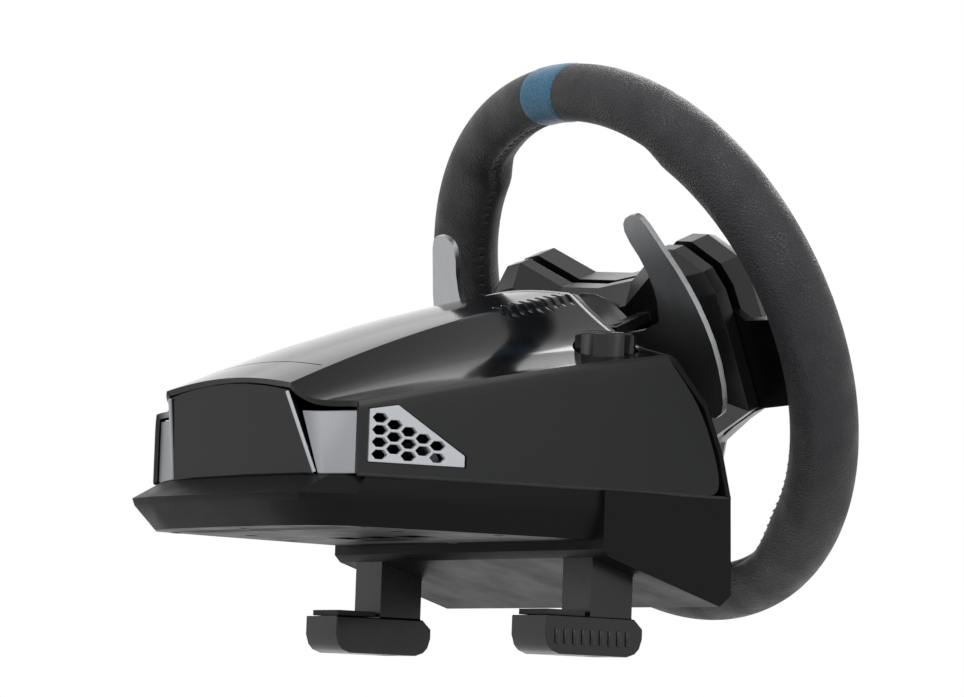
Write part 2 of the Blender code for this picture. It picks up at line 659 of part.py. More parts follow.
shaft_shape = cylinder_profile(SHAFT_RADIUS, along(SHAFT_END), SPOKE_PLATE_Z - FIT, 0.0, SHAFT_BORE)
add("steering_shaft", turned_mesh("steering_shaft", shaft_shape, 24), STEEL, wheel)


def gear_outline(teeth, phase):
    """Involute teeth with a little backlash, six points a tooth."""
    pitch = MODULE * teeth / 2
    base = pitch * math.cos(math.radians(20))
    tip = pitch + 0.9 * MODULE
    root = pitch - 1.25 * MODULE
    thickness = math.pi * MODULE / 2 - 0.3 * MM

    def roll(radius):
        if radius <= base:
            return 0.0
        turn = math.acos(base / radius)
        return math.tan(turn) - turn

    points = []
    for i in range(teeth):
        middle = phase + math.tau * i / teeth
        flank = [(radius, thickness / 2 / pitch + roll(pitch) - roll(radius))
                 for radius in (root, pitch, tip)]
        for radius, half in flank:
            points.append((radius, middle - half))
        for radius, half in reversed(flank):
            points.append((radius, middle + half))
    return [(radius * math.cos(a), radius * math.sin(a)) for radius, a in points]


GEAR_PITCH = MODULE * GEAR_TEETH / 2
PINION_PITCH = MODULE * PINION_TEETH / 2
GEAR_CENTRES = GEAR_PITCH + PINION_PITCH + 0.1 * MODULE
gear_low = along(GEAR_START + GEAR_WIDTH)
gear_hole = arc((0, 0), SHAFT_RADIUS + FIT, 0, 345, 23)
gear_mesh = plate_mesh("main_gear", [gear_outline(GEAR_TEETH, 0.0), gear_hole], gear_low, along(GEAR_START))
add("main_gear", gear_mesh, NYLON, wheel)
PINION_PHASE = math.pi / PINION_TEETH
for side, sign in (("left", -1), ("right", 1)):
    toward = math.pi if sign > 0 else 0.0
    teeth = gear_outline(PINION_TEETH, toward + PINION_PHASE)
    bore = arc((0, 0), MOTOR_SHAFT_RADIUS + FIT, 0, 330, 11)
    mesh = plate_mesh("pinion_" + side, [teeth, bore], gear_low, along(GEAR_START))
    add("pinion_" + side, moved(mesh, Matrix.Translation((sign * GEAR_CENTRES, 0, 0))), BRASS, wheel)


def support_plate(name, start, half_width, top, holes):
    """A bearing plate square to the steering axis, standing on the tray's floor."""
    down = (WHEEL_Z - start * math.sin(WHEEL_LEAN) - TRAY_FLOOR) / math.cos(WHEEL_LEAN) + PLATE_THICK
    outline = [(-half_width, top - 8 * MM), (-half_width + 8 * MM, top), (half_width - 8 * MM, top),
               (half_width, top - 8 * MM), (half_width, -down), (-half_width, -down)]
    outline.reverse()
    rings = [arc((x, 0), radius, 0, 345, 23) for x, radius in holes]
    mesh = plate_mesh(name, [outline, *rings], along(start + PLATE_THICK), along(start))
    plate = add(name, mesh, ALUMINIUM, wheel)
    below = box_mesh(name + "_floor", (-0.2, -0.3, -0.2), (0.2, 0.3, TRAY_FLOOR + FIT))
    cut(plate, add(name + "_floor", below, cutter=True))


BEARING_HOLE = BEARING_RADIUS + FIT
PLATE_TOP = BEARING_RADIUS + PLATE_WALL
support_plate("gearbox_rear_plate", REAR_PLATE_AT, BEARING_RADIUS + 2 * PLATE_WALL, PLATE_TOP,
              [(0.0, BEARING_HOLE)])
BOSS = PINION_PITCH + 2 * MM
BOSS_HOLE = BOSS - 3 * MM
BOSS_HEIGHT = 3 * MM
support_plate("motor_plate", MOTOR_PLATE_AT, GEAR_CENTRES + BOSS + 2 * MM, PLATE_TOP,
              [(0.0, BEARING_HOLE), (-GEAR_CENTRES, BOSS_HOLE), (GEAR_CENTRES, BOSS_HOLE)])
for name, start in (("bearing_rear", REAR_PLATE_AT), ("bearing_front", MOTOR_PLATE_AT)):
    end = along(start + BEARING_WIDTH)
    shape = cylinder_profile(BEARING_RADIUS, end, along(start), 0.0, SHAFT_RADIUS + FIT)
    add(name, turned_mesh(name, shape, 24), STEEL, wheel)
for side, sign in (("left", -1), ("right", 1)):
    seat = along(MOTOR_PLATE_AT + PLATE_THICK) - FIT
    nose = along(GEAR_START) - 1 * MM
    tail = seat - MOTOR_LENGTH
    shape = [(0, nose), (MOTOR_SHAFT_RADIUS, nose), (MOTOR_SHAFT_RADIUS, seat + BOSS_HEIGHT),
             (BOSS_HOLE - FIT, seat + BOSS_HEIGHT), (BOSS_HOLE - FIT, seat), (MOTOR_RADIUS, seat),
             (MOTOR_RADIUS, tail + 2 * MM), (MOTOR_RADIUS - 2 * MM, tail), (0, tail)]
    motor = turned_mesh("motor_" + side, shape, 18)
    add("motor_" + side, moved(motor, Matrix.Translation((sign * GEAR_CENTRES, 0, 0))), STEEL, wheel)


# Base shell: feature lines that run from the front edge to the rear edge
def run(y):
    return max(0.0, (y - SHELL_REAR) / MM)


def wall_half(y):
    t = run(y)
    return REAR_HALF_WIDTH - (0.085 * t + 0.00047 * t * t) * MM


def shoulder_z(y):
    t = run(y)
    return SHOULDER_REAR_Z - (0.155 * t + 0.00035 * t * t) * MM


def valley(y):
    t = run(y)
    return VALLEY_REAR_X - 0.085 * t * MM, VALLEY_REAR_Z - (0.12 * t + 0.0008 * t * t) * MM


def crease(y):
    t = run(y)
    return CREASE_REAR_X + 0.07 * t * MM, CREASE_REAR_Z - (0.21 * t + 0.00075 * t * t) * MM


def between(first, second, share, lift=0.0):
    def line(y):
        a = first(y)
        b = second(y)
        return lerp(a[0], b[0], share), lerp(a[1], b[1], share) + lift
    return line


def wall_at(share):
    def line(y):
        return wall_half(y), lerp(PARTING_Z + FIT, shoulder_z(y) - 4 * MM, share)
    return line


def shoulder(y):
    return wall_half(y) - 1.2 * MM, shoulder_z(y) - 1.2 * MM


def shoulder_top(y):
    return wall_half(y) - 4.5 * MM, shoulder_z(y)


def crown(share):
    def line(y):
        x, z = crease(y)
        return x * share, z + CROWN * (1 - share * share)
    return line


VALLEY_FRONT_Y = CORNER_FRONT_Y + 7 * MM

# Each line has its rear and front end; the wall's rear end sweeps back towards the driver as it goes down
FEATURE_LINES = [
    (wall_at(0.0), WALL_FOOT_Y, CORNER_FRONT_Y),
    (wall_at(0.33), WALL_FOOT_Y + 5 * MM, CORNER_FRONT_Y),
    (wall_at(0.7), WALL_FOOT_Y + 14 * MM, CORNER_FRONT_Y),
    (wall_at(1.0), SHELL_REAR - 3 * MM, CORNER_FRONT_Y),
    (shoulder, SHELL_REAR - 1 * MM, CORNER_FRONT_Y),
    (shoulder_top, SHELL_REAR, CORNER_FRONT_Y),
    (between(shoulder_top, valley, 0.6, -1 * MM), SHELL_REAR, CORNER_FRONT_Y + 3 * MM),
    (valley, SHELL_REAR + 1 * MM, VALLEY_FRONT_Y),
    (between(valley, crease, 0.35, -1.5 * MM), SHELL_REAR + 2 * MM, SHELL_FRONT - 5 * MM),
    (between(valley, crease, 0.75, -1 * MM), SHELL_REAR + 4 * MM, SHELL_FRONT - 1 * MM),
    (crown(1.0), SHELL_REAR + 5 * MM, SHELL_FRONT),
    (crown(0.9), SHELL_REAR + 6 * MM, SHELL_FRONT),
    (crown(0.5), SHELL_REAR + 9 * MM, SHELL_FRONT),
    (crown(0.0), SHELL_REAR + 11 * MM, SHELL_FRONT),
]
STATIONS = 9


def shell_ring(share):
    """One section of the shell from the right foot over the crown to the left foot."""
    right = []
    for line, rear, front in FEATURE_LINES:
        y = lerp(rear, front, share)
        x, z = line(y)
        right.append((x, y, z))
    return right + [(-x, y, z) for x, y, z in reversed(right[:-1])]


def solid_sheet(name, rings, thickness, closed_ring=False):
    """A sheet through the rings with its thickness added on the inside."""
    def build(bm):
        loft(bm, rings, closed_ring=closed_ring)
    made = add(name, mesh_from(name, build))
    wall = made.modifiers.new("wall", 'SOLIDIFY')
    wall.thickness = thickness
    wall.offset = -1.0
    wall.use_even_offset = True
    return made


def facing(target, outward):
    """Turn a sheet's faces so that the first one points the given way."""
    if target.data.polygons[0].normal.dot(Vector(outward)) < 0:
        target.data.flip_normals()


top_shell = solid_sheet("top_shell", [shell_ring(i / (STATIONS - 1)) for i in range(STATIONS)], SHELL_WALL)
facing(top_shell, (1, 0, 0))
top_shell.data.materials.append(GLOSS_BLACK)


# Side vents: an opening in each wall and a lattice of long hexagons that fills it
VENT_TOP_FRONT_Z = shoulder_z(CORNER_FRONT_Y) - 3 * MM
VENT_PEAK_Z = shoulder_z(VENT_PEAK_Y) - 5 * MM
VENT_FRONT_Y = CORNER_FRONT_Y - 4 * MM


def vent_outline(inset):
    return [(VENT_FRONT_Y - inset, VENT_FLOOR_Z + inset), (VENT_FRONT_Y - inset, VENT_TOP_FRONT_Z - inset),
            (VENT_PEAK_Y - inset * 0.2, VENT_PEAK_Z - inset),
            (VENT_REAR_Y + inset * 1.6, VENT_FLOOR_Z + VENT_TAIL),
            (VENT_REAR_Y + inset * 1.6, VENT_FLOOR_Z + inset)]


def inside(point, outline):
    """Whether a point lies inside a convex outline, on either winding."""
    signs = set()
    for (ax, ay), (bx, by) in zip(outline, outline[1:] + outline[:1]):
        signs.add((bx - ax) * (point[1] - ay) - (by - ay) * (point[0] - ax) > 0)
    return len(signs) == 1


def hexagon(y, z):
    long = HEX_LENGTH / 2
    short = HEX_HEIGHT / 2
    shape = [(long, 0), (long * 0.5, short), (-long * 0.5, short), (-long, 0), (-long * 0.5, -short),
             (long * 0.5, -short)]
    return [(y + dy, z + dz) for dy, dz in shape]


def lattice():
    """Hexagons in staggered columns, only those that lie wholly inside the vent."""
    frame = vent_outline(HEX_MARGIN + FIT)
    cells = []
    columns = int((VENT_FRONT_Y - VENT_REAR_Y) / HEX_PITCH_Y) + 1
    rows = int((VENT_PEAK_Z - VENT_FLOOR_Z) / HEX_PITCH_Z) + 2
    for column in range(columns):
        y = VENT_FRONT_Y - HEX_MARGIN - FIT - HEX_LENGTH / 2 - 0.4 * MM - column * HEX_PITCH_Y
        for row in range(rows):
            z = VENT_FLOOR_Z + HEX_MARGIN + HEX_HEIGHT / 2 + 0.6 * MM + (row + column % 2 / 2) * HEX_PITCH_Z
            cell = hexagon(y, z)
            if all(inside(point, frame) for point in cell):
                cells.append(cell)
    return cells


VENT_MIDDLE = (VENT_FRONT_Y + VENT_REAR_Y) / 2
VENT_SLOPE = math.atan2(wall_half(VENT_REAR_Y) - wall_half(VENT_FRONT_Y), VENT_FRONT_Y - VENT_REAR_Y)


def side_place(sign):
    """Stand a plate drawn in (y, z) on the sloping side wall, its thickness towards the inside."""
    base = Matrix(((0, 0, sign, 0), (1, 0, 0, 0), (0, 1, 0, 0), (0, 0, 0, 1)))
    turn = Matrix.Rotation(sign * VENT_SLOPE, 4, 'Z')
    middle = (wall_half(VENT_FRONT_Y) + wall_half(VENT_REAR_Y)) / 2
    out = Matrix.Translation((sign * middle, VENT_MIDDLE, 0))
    return out @ turn @ Matrix.Translation((0, -VENT_MIDDLE, 0)) @ base


for side, sign in (("left", -1), ("right", 1)):
    hole = moved(plate_mesh("vent_opening", [vent_outline(0.0)], -9 * MM, 9 * MM), side_place(sign))
    if sign < 0:
        hole.flip_normals()
    cut(top_shell, add("vent_opening_" + side, hole, cutter=True))
    grille = plate_mesh("vent_grille_" + side, [vent_outline(FIT), *lattice()], -PANEL_THICK, 0.0)
    moved(grille, side_place(sign))
    if sign < 0:
        grille.flip_normals()
    add("vent_grille_" + side, grille, SILVER)


# Front fascia and the smooth corner panels beside it
FASCIA_TOP = crease(SHELL_FRONT)
FASCIA_RISE = FASCIA_TOP[1] - SHELL_WALL - PARTING_Z - 2 * FIT
FASCIA_LEAN = math.atan2(SHELL_FRONT - FASCIA_FOOT_Y, FASCIA_TOP[1] - PARTING_Z)
fascia_height = FASCIA_RISE / math.cos(FASCIA_LEAN)
fascia_top_half = FASCIA_TOP[0] - 3 * MM
fascia_half = [(fascia_top_half * share, fascia_height + CROWN * (1 - share * share))
               for share in (0.0, 0.3, 0.6, 0.8, 1.0)]
fascia_half += [(FASCIA_FOOT_HALF - 1 * MM, 0.0), (0.0, 0.0)]
FASCIA_TURN = Matrix.Rotation(math.pi / 2 - FASCIA_LEAN, 4, 'X')
FASCIA_PLACE = Matrix.Translation((0, FASCIA_FOOT_Y, PARTING_Z + FIT)) @ FASCIA_TURN
fascia_mesh = plate_mesh("front_fascia", [mirrored(fascia_half)], 0.0, PANEL_THICK)
add("front_fascia", moved(fascia_mesh, FASCIA_PLACE), GLOSS_BLACK)
for side, sign in (("left", -1), ("right", 1)):
    outer_x = wall_half(CORNER_FRONT_Y) - SHELL_WALL - FIT
    lean = (SHELL_FRONT - FASCIA_FOOT_Y) * 0.62
    foot = [(sign * (FASCIA_FOOT_HALF + FIT), FASCIA_FOOT_Y - 1 * MM, PARTING_Z + FIT),
            (sign * (FASCIA_FOOT_HALF + 5 * MM), FASCIA_FOOT_Y - 2 * MM, PARTING_Z + FIT),
            (sign * outer_x, CORNER_FRONT_Y - 1 * MM, PARTING_Z + FIT)]
    top_z = min(valley(VALLEY_FRONT_Y)[1], shoulder_z(CORNER_FRONT_Y)) - SHELL_WALL - 1.5 * MM
    head = [(sign * (FASCIA_FOOT_HALF - 4.5 * MM), FASCIA_FOOT_Y + lean - 1 * MM, top_z),
            (sign * (FASCIA_FOOT_HALF + 2 * MM), CORNER_FRONT_Y + 5 * MM, top_z),
            (sign * outer_x, CORNER_FRONT_Y - 1 * MM, top_z)]
    panel = solid_sheet("corner_panel_" + side, [foot, head], PANEL_THICK)
    facing(panel, (0, 1, 0))
    panel.data.materials.append(SILVER)


# Rear cover: a dished ring from the shell's rear edge in to the column
REAR_INNER = COLUMN_RADIUS + 3 * MM
REAR_DEPTH = 54 * MM
COVER_SHIFT = PANEL_THICK + FIT + 1.4 * MM


def rear_rings():
    """Rings from just behind the shell's rear edge in to the opening round the column."""
    back = Vector((0, -COVER_SHIFT, 0))
    outer = [Vector(point) + back for point in shell_ring(0.0)]
    low = [outer[-1].lerp(outer[0], i / 8) for i in range(1, 8)]
    outer += low
    inner = []
    for point in outer:
        flat = WHEEL_PLACE.inverted() @ point
        angle = math.atan2(flat.y, flat.x)
        inner.append(WHEEL_PLACE @ Vector((REAR_INNER * math.cos(angle), REAR_INNER * math.sin(angle),
                                           along(REAR_DEPTH))))
    middle = [point.lerp(target, 0.55) + Vector((0, 4 * MM, 0)) for point, target in zip(outer, inner)]
    return [[tuple(point) for point in ring] for ring in (outer, middle, inner)]


rear_cover = solid_sheet("rear_cover", rear_rings(), PANEL_THICK, True)
facing(rear_cover, (0, -1, 0))
rear_cover.data.materials.append(SATIN_BLACK)
below_mesh = box_mesh("below_parting", (-0.2, -0.3, -0.1), (0.2, 0.3, PARTING_Z + FIT))
cut(rear_cover, add("below_parting", below_mesh, cutter=True))


# Tray: a layered outline with an arrow-shaped front lip, plus the drop that hangs behind the table edge
def tray_outline(front_y, narrow):
    rear = TABLE_EDGE_Y - 2 * MM
    half = [(0.0, front_y)]
    corner = wall_half(CORNER_FRONT_Y) - narrow
    half += [(corner * 0.55, front_y - 1 * MM), (corner * 0.82, front_y - 5 * MM)]
    half += [(corner, min(front_y - 14 * MM, CORNER_FRONT_Y))]
    half += [(wall_half(y) - narrow, y) for y in (60 * MM, 20 * MM)]
    half += [(wall_half(rear) - narrow, rear), (0.0, rear)]
    return mirrored(half)


def tray_build(bm):
    levels = [(TRAY_FOOT_Y, 4 * MM, 0.0), (TRAY_TIP_Y - 1 * MM, 0.5 * MM, TRAY_TIP_Z - 3 * MM),
              (TRAY_TIP_Y, 0.0, TRAY_TIP_Z), (FASCIA_FOOT_Y + 4 * MM, 0.0, PARTING_Z)]
    loft(bm, [[(x, y, z) for x, y in tray_outline(front, narrow)] for front, narrow, z in levels], caps=True)


tray = add("base_tray", mesh_from("base_tray", tray_build, facet=True), SATIN_BLACK)
DROP_TOP_Z = PARTING_Z - FIT
drop_profile = [(TABLE_EDGE_Y, DROP_TOP_Z), (TABLE_EDGE_Y, DROP_FRONT_Z + 3 * MM),
                (TABLE_EDGE_Y - 3 * MM, DROP_FRONT_Z), (DROP_REAR_Y + 6 * MM, DROP_REAR_Z),
                (DROP_REAR_Y, DROP_REAR_Z + 5 * MM), (WALL_FOOT_Y - COVER_SHIFT, DROP_TOP_Z)]
ACROSS = Matrix(((0, 0, 1, 0), (1, 0, 0, 0), (0, 1, 0, 0), (0, 0, 0, 1)))
drop_mesh = moved(plate_mesh("rear_drop", [drop_profile], -REAR_HALF_WIDTH, REAR_HALF_WIDTH), ACROSS)
cut(tray, add("rear_drop", drop_mesh, cutter=True), 'UNION')
POCKET_FRONT = FASCIA_FOOT_Y - PANEL_THICK - 2 * MM
POCKET_REAR = WALL_FOOT_Y + TRAY_WALL + 4 * MM
pocket = [(0.0, POCKET_FRONT), (FASCIA_FOOT_HALF - 6 * MM, POCKET_FRONT),
          (wall_half(CORNER_FRONT_Y) - TRAY_WALL, CORNER_FRONT_Y - 12 * MM), (wall_half(0.0) - TRAY_WALL, 0.0),
          (REAR_HALF_WIDTH - TRAY_WALL, POCKET_REAR), (0.0, POCKET_REAR)]
pocket_mesh = plate_mesh("tray_pocket", [mirrored(pocket)], TRAY_FLOOR, PARTING_Z + 20 * MM)
cut(tray, add("tray_pocket", pocket_mesh, cutter=True))


# Desk clamps
def clamp_box(name, sign, half_x, rear_y, front_y, low, high):
    return box_mesh(name, (sign * CLAMP_X - half_x, rear_y, low), (sign * CLAMP_X + half_x, front_y, high))


def column_box(name, sign, grow, low, high):
    """The clamp column's block, larger all round by grow."""
    half_y = COLUMN_Y / 2 + grow
    return clamp_box(name, sign, COLUMN_X / 2 + grow, CLAMP_Y - half_y, CLAMP_Y + half_y, low, high)


KNOB_FOOT_Z = GUIDE_TOP_Z + FIT
JAW_FOOT_Z = JAW_TOP_Z - JAW_THICK
TOE_STEPS = ((0.0, 1.4), (0.25, 0.65), (0.65, 0.25), (1.4, 0.0))
for side, sign in (("left", -1), ("right", 1)):
    stand = Matrix.Translation((sign * CLAMP_X, CLAMP_Y, 0))
    cut(tray, add("clamp_way_" + side, column_box("clamp_way", sign, RUN, -60 * MM, 30 * MM), cutter=True))
    guide_mesh = column_box("clamp_guide_" + side, sign, RUN + GUIDE_WALL, TRAY_FLOOR + FIT, GUIDE_TOP_Z)
    guide = add("clamp_guide_" + side, guide_mesh, SATIN_BLACK)
    bore = column_box("guide_bore", sign, RUN, -10 * MM, GUIDE_TOP_Z - GUIDE_CAP)
    cut(guide, add("guide_bore_" + side, bore, cutter=True))
    rod = cylinder_profile(SCREW_RADIUS + RUN, -0.1, 0.1)
    rod_way = add("screw_way_" + side, moved(turned_mesh("screw_way", rod, 20), stand), cutter=True)
    cut(guide, rod_way)
    screw_shape = cylinder_profile(SCREW_RADIUS, SCREW_FOOT_Z, GUIDE_TOP_Z)
    add("clamp_screw_" + side, moved(turned_mesh("clamp_screw_" + side, screw_shape, 20), stand), STEEL)
    flutes = []
    for i in range(2 * KNOB_FLUTES):
        a = math.tau * i / (2 * KNOB_FLUTES)
        r = KNOB_RADIUS - (KNOB_FLUTE_DEPTH if i % 2 else 0.0)
        flutes.append((r * math.cos(a), r * math.sin(a)))
    knob_mesh = plate_mesh("clamp_knob_" + side, [flutes], KNOB_FOOT_Z, KNOB_TOP_Z)
    knob = add("clamp_knob_" + side, moved(knob_mesh, stand), SATIN_BLACK)
    soften(knob, 0.8 * MM, 1, 60)
    well = turned_mesh("knob_well", cylinder_profile(KNOB_RADIUS + 2 * RUN, 0.05, 0.12), 28)
    cut(top_shell, add("knob_well_" + side, moved(well, stand), cutter=True))
    column = column_box("clamp_jaw_" + side, sign, 0.0, JAW_FOOT_Z + 3 * MM, COLUMN_TOP_Z)
    jaw = add("clamp_jaw_" + side, column, SATIN_BLACK)
    sole = [(JAW_REAR_Y, JAW_TOP_Z - JAW_HEEL_DROP), (CLAMP_Y - COLUMN_Y / 2, JAW_TOP_Z),
            (JAW_FRONT_Y, JAW_TOP_Z)]
    sole += [(JAW_FRONT_Y - JAW_TOE * a, JAW_FOOT_Z + JAW_TOE * b) for a, b in TOE_STEPS]
    sole += [(JAW_REAR_Y + JAW_TOE * a, JAW_FOOT_Z + JAW_TOE * b) for a, b in reversed(TOE_STEPS)]
    shoe = moved(plate_mesh("jaw_shoe", [list(reversed(sole))], -JAW_WIDTH / 2, JAW_WIDTH / 2),
                 Matrix.Translation((sign * CLAMP_X, 0, 0)) @ ACROSS)
    cut(jaw, add("jaw_shoe_" + side, shoe, cutter=True), 'UNION')
    cut(jaw, rod_way)
    pad_front = JAW_FRONT_Y - 2 * MM
    pad_low = JAW_TOP_Z + FIT
    pad = clamp_box("jaw_pad_" + side, sign, JAW_WIDTH / 2 - 2 * MM, pad_front - PAD_LENGTH, pad_front, pad_low,
                    pad_low + PAD_THICK)
    add("jaw_pad_" + side, pad, RUBBER)


# Underside: rubber feet flush with the seat, bolt bores and the three cable sockets
sinks = []
for tag, y in (("front", FOOT_FRONT_Y), ("rear", FOOT_REAR_Y)):
    low = Vector((-FOOT_LENGTH / 2, y - FOOT_WIDTH / 2, 0))
    high = Vector((FOOT_LENGTH / 2, y + FOOT_WIDTH / 2, FOOT_THICK))
    add("rubber_foot_" + tag, box_mesh("rubber_foot_" + tag, low, high), RUBBER)
    gap = Vector((FIT, FIT, FIT))
    sinks.append(box_mesh("foot_sink", low - gap - Vector((0, 0, 5 * MM)), high + gap))
for sign in (-1, 1):
    place = Matrix.Translation((sign * BOLT_X, BOLT_Y, 0))
    boss = cylinder_profile(BOLT_BORE + 5 * MM, TRAY_FLOOR - 1 * MM, BOLT_DEPTH + 3 * MM)
    cut(tray, add("bolt_boss", moved(turned_mesh("bolt_boss", boss, 18), place), cutter=True), 'UNION')
    sinks.append(moved(turned_mesh("bolt_bore", cylinder_profile(BOLT_BORE, -5 * MM, BOLT_DEPTH), 18), place))
for index, name in enumerate(("pedal_port", "power_inlet", "shifter_port")):
    x = (index - 1) * PORT_PITCH
    half_x = PORT_LENGTH / 2
    half_y = PORT_WIDTH / 2
    port_mesh = box_mesh(name, (x - half_x, PORT_Y - half_y, PORT_RECESS),
                         (x + half_x, PORT_Y + half_y, PORT_RECESS + PORT_DEPTH))
    port = add(name, port_mesh, SATIN_BLACK)
    inner_x = half_x - PORT_WALL
    inner_y = half_y - PORT_WALL
    mouth = box_mesh("socket", (x - inner_x, PORT_Y - inner_y, 0.0),
                     (x + inner_x, PORT_Y + inner_y, PORT_DEPTH))
    cut(port, add(name + "_mouth", mouth, cutter=True))
    sinks.append(box_mesh("port_sink", (x - half_x - FIT, PORT_Y - half_y - FIT, -5 * MM),
                          (x + half_x + FIT, PORT_Y + half_y + FIT, PARTING_Z)))
cut(tray, add("underside_sinks", joined("underside_sinks", sinks), cutter=True))

# Control board on four short posts of the tray
BOARD_Z = TRAY_FLOOR + BOARD_STANDOFF + FIT
board = box_mesh("control_board", (-BOARD_WIDTH / 2, BOARD_Y - BOARD_LENGTH / 2, BOARD_Z),
                 (BOARD_WIDTH / 2, BOARD_Y + BOARD_LENGTH / 2, BOARD_Z + BOARD_THICK))
add("control_board", board, BOARD_GREEN)
post_shape = cylinder_profile(POST_RADIUS, TRAY_FLOOR - 1 * MM, TRAY_FLOOR + BOARD_STANDOFF)
posts = []
for sx in (-1, 1):
    for sy in (-1, 1):
        x = sx * (BOARD_WIDTH / 2 - POST_INSET)
        y = BOARD_Y + sy * (BOARD_LENGTH / 2 - POST_INSET)
        posts.append(moved(turned_mesh("post", post_shape, 10), Matrix.Translation((x, y, 0))))
cut(tray, add("board_posts", joined("board_posts", posts), cutter=True), 'UNION')

for made in parts.objects:
    if made.type == 'MESH':
        made.data.shade_smooth()
        made.data.set_sharp_from_angle(angle=math.radians(35))
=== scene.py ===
"""Looks of the racing wheel: leather rim, moulded shell, metal paddles, trim and a studio."""

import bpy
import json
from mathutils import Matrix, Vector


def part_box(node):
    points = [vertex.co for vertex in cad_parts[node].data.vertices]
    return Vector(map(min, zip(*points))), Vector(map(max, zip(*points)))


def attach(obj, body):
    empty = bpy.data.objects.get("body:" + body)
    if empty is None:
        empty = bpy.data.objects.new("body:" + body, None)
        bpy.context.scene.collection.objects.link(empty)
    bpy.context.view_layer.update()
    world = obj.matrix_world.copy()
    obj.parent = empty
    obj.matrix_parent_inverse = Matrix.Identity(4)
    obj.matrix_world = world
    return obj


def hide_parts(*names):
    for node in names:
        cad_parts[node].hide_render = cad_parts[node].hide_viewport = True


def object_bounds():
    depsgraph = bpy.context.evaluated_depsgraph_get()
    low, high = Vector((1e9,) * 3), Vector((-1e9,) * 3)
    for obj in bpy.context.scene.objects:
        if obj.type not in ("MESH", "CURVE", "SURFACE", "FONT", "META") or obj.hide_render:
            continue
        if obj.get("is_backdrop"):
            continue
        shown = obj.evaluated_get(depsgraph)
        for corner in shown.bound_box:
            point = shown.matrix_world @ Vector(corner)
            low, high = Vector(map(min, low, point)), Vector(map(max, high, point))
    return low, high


bl_info = {
    "name": "Racing Wheel Dressing",
    "version": (1, 0, 0),
    "blender": (4, 5, 0),
    "location": "View3D > Sidebar > Racing Wheel",
    "description": "Dresses a racing wheel: leather rim, glossy shell, trim, materials and studio",
    "category": "Object",
}
import json
import math

import bpy
from mathutils import Matrix, Vector

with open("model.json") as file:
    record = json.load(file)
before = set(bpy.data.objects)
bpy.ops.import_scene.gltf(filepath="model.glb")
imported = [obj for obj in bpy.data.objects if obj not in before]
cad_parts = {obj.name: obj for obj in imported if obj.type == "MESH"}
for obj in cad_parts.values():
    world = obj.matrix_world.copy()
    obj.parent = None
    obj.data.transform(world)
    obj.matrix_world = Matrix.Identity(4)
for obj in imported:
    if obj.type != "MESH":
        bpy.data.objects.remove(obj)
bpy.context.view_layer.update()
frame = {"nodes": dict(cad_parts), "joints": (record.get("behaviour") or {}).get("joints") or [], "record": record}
NODES = frame["nodes"]
JOINTS = {joint["name"]: joint for joint in frame["joints"]}
MM = 0.001
TINY = 1e-6

# The wheel's own frame: x right, y up the wheel plane, z towards the driver
WHEEL_CENTRE = Vector(JOINTS["steering_turn"]["pos_m"])
WHEEL_AXIS = Vector(JOINTS["steering_turn"]["axis"])
LEAN = math.atan2(WHEEL_AXIS.z, -WHEEL_AXIS.y)
WHEEL_PLACE = Matrix.Translation(WHEEL_CENTRE) @ Matrix.Rotation(math.pi / 2 - LEAN, 4, 'X')
IDENTITY = Matrix.Identity(4)
FINISHES = {}


def length(name, description, millimetres):
    return bpy.props.FloatProperty(name=name, description=description, default=millimetres * MM,
                                   subtype='DISTANCE', unit='LENGTH', precision=5)


def colour(name, description, value):
    return bpy.props.FloatVectorProperty(name=name, description=description, default=value, size=3,
                                         min=0.0, max=1.0, subtype='COLOR')


class RacingWheelSizes(bpy.types.PropertyGroup):
    rim_radius: length("Rim radius", "Outer radius of the leather rim", 130)
    rim_radial: length("Rim section, radial", "Half the rim's thickness in the wheel plane", 12.5)
    rim_axial: length("Rim section, axial", "Half the rim's thickness along the steering axis", 14.5)
    thumb_rest: length("Thumb rest", "Swelling of the grip at the thumb rests", 6)
    seam_depth: length("Seam depth", "Depth of the sewn seam that faces the hub", 1.3)
    stitch_length: length("Stitch length", "Length of one stitch across the seam", 4.6)
    band_width: length("Band width", "Width of the blue band at the top of the rim", 23)
    band_rise: length("Band rise", "How far the blue band stands proud of the leather", 0.35)
    shell_wall: length("Shell wall", "Wall of the top shell", 2.5)
    louvre_width: length("Louvre width", "Width of one slot of the hood louvre", 2.2)
    louvre_pitch: length("Louvre pitch", "Spacing of the louvre slots", 4.6)
    seam_width: length("Panel seam", "Width of the seam across the hood", 0.7)
    lip_radius: length("Lip radius", "Half the thickness of the bright beads on the base", 0.8)
    edge_round: length("Edge rounding", "Small rounding on moulded edges", 0.55)
    screw_radius: length("Screw radius", "Radius of the small cover screws", 2.6)


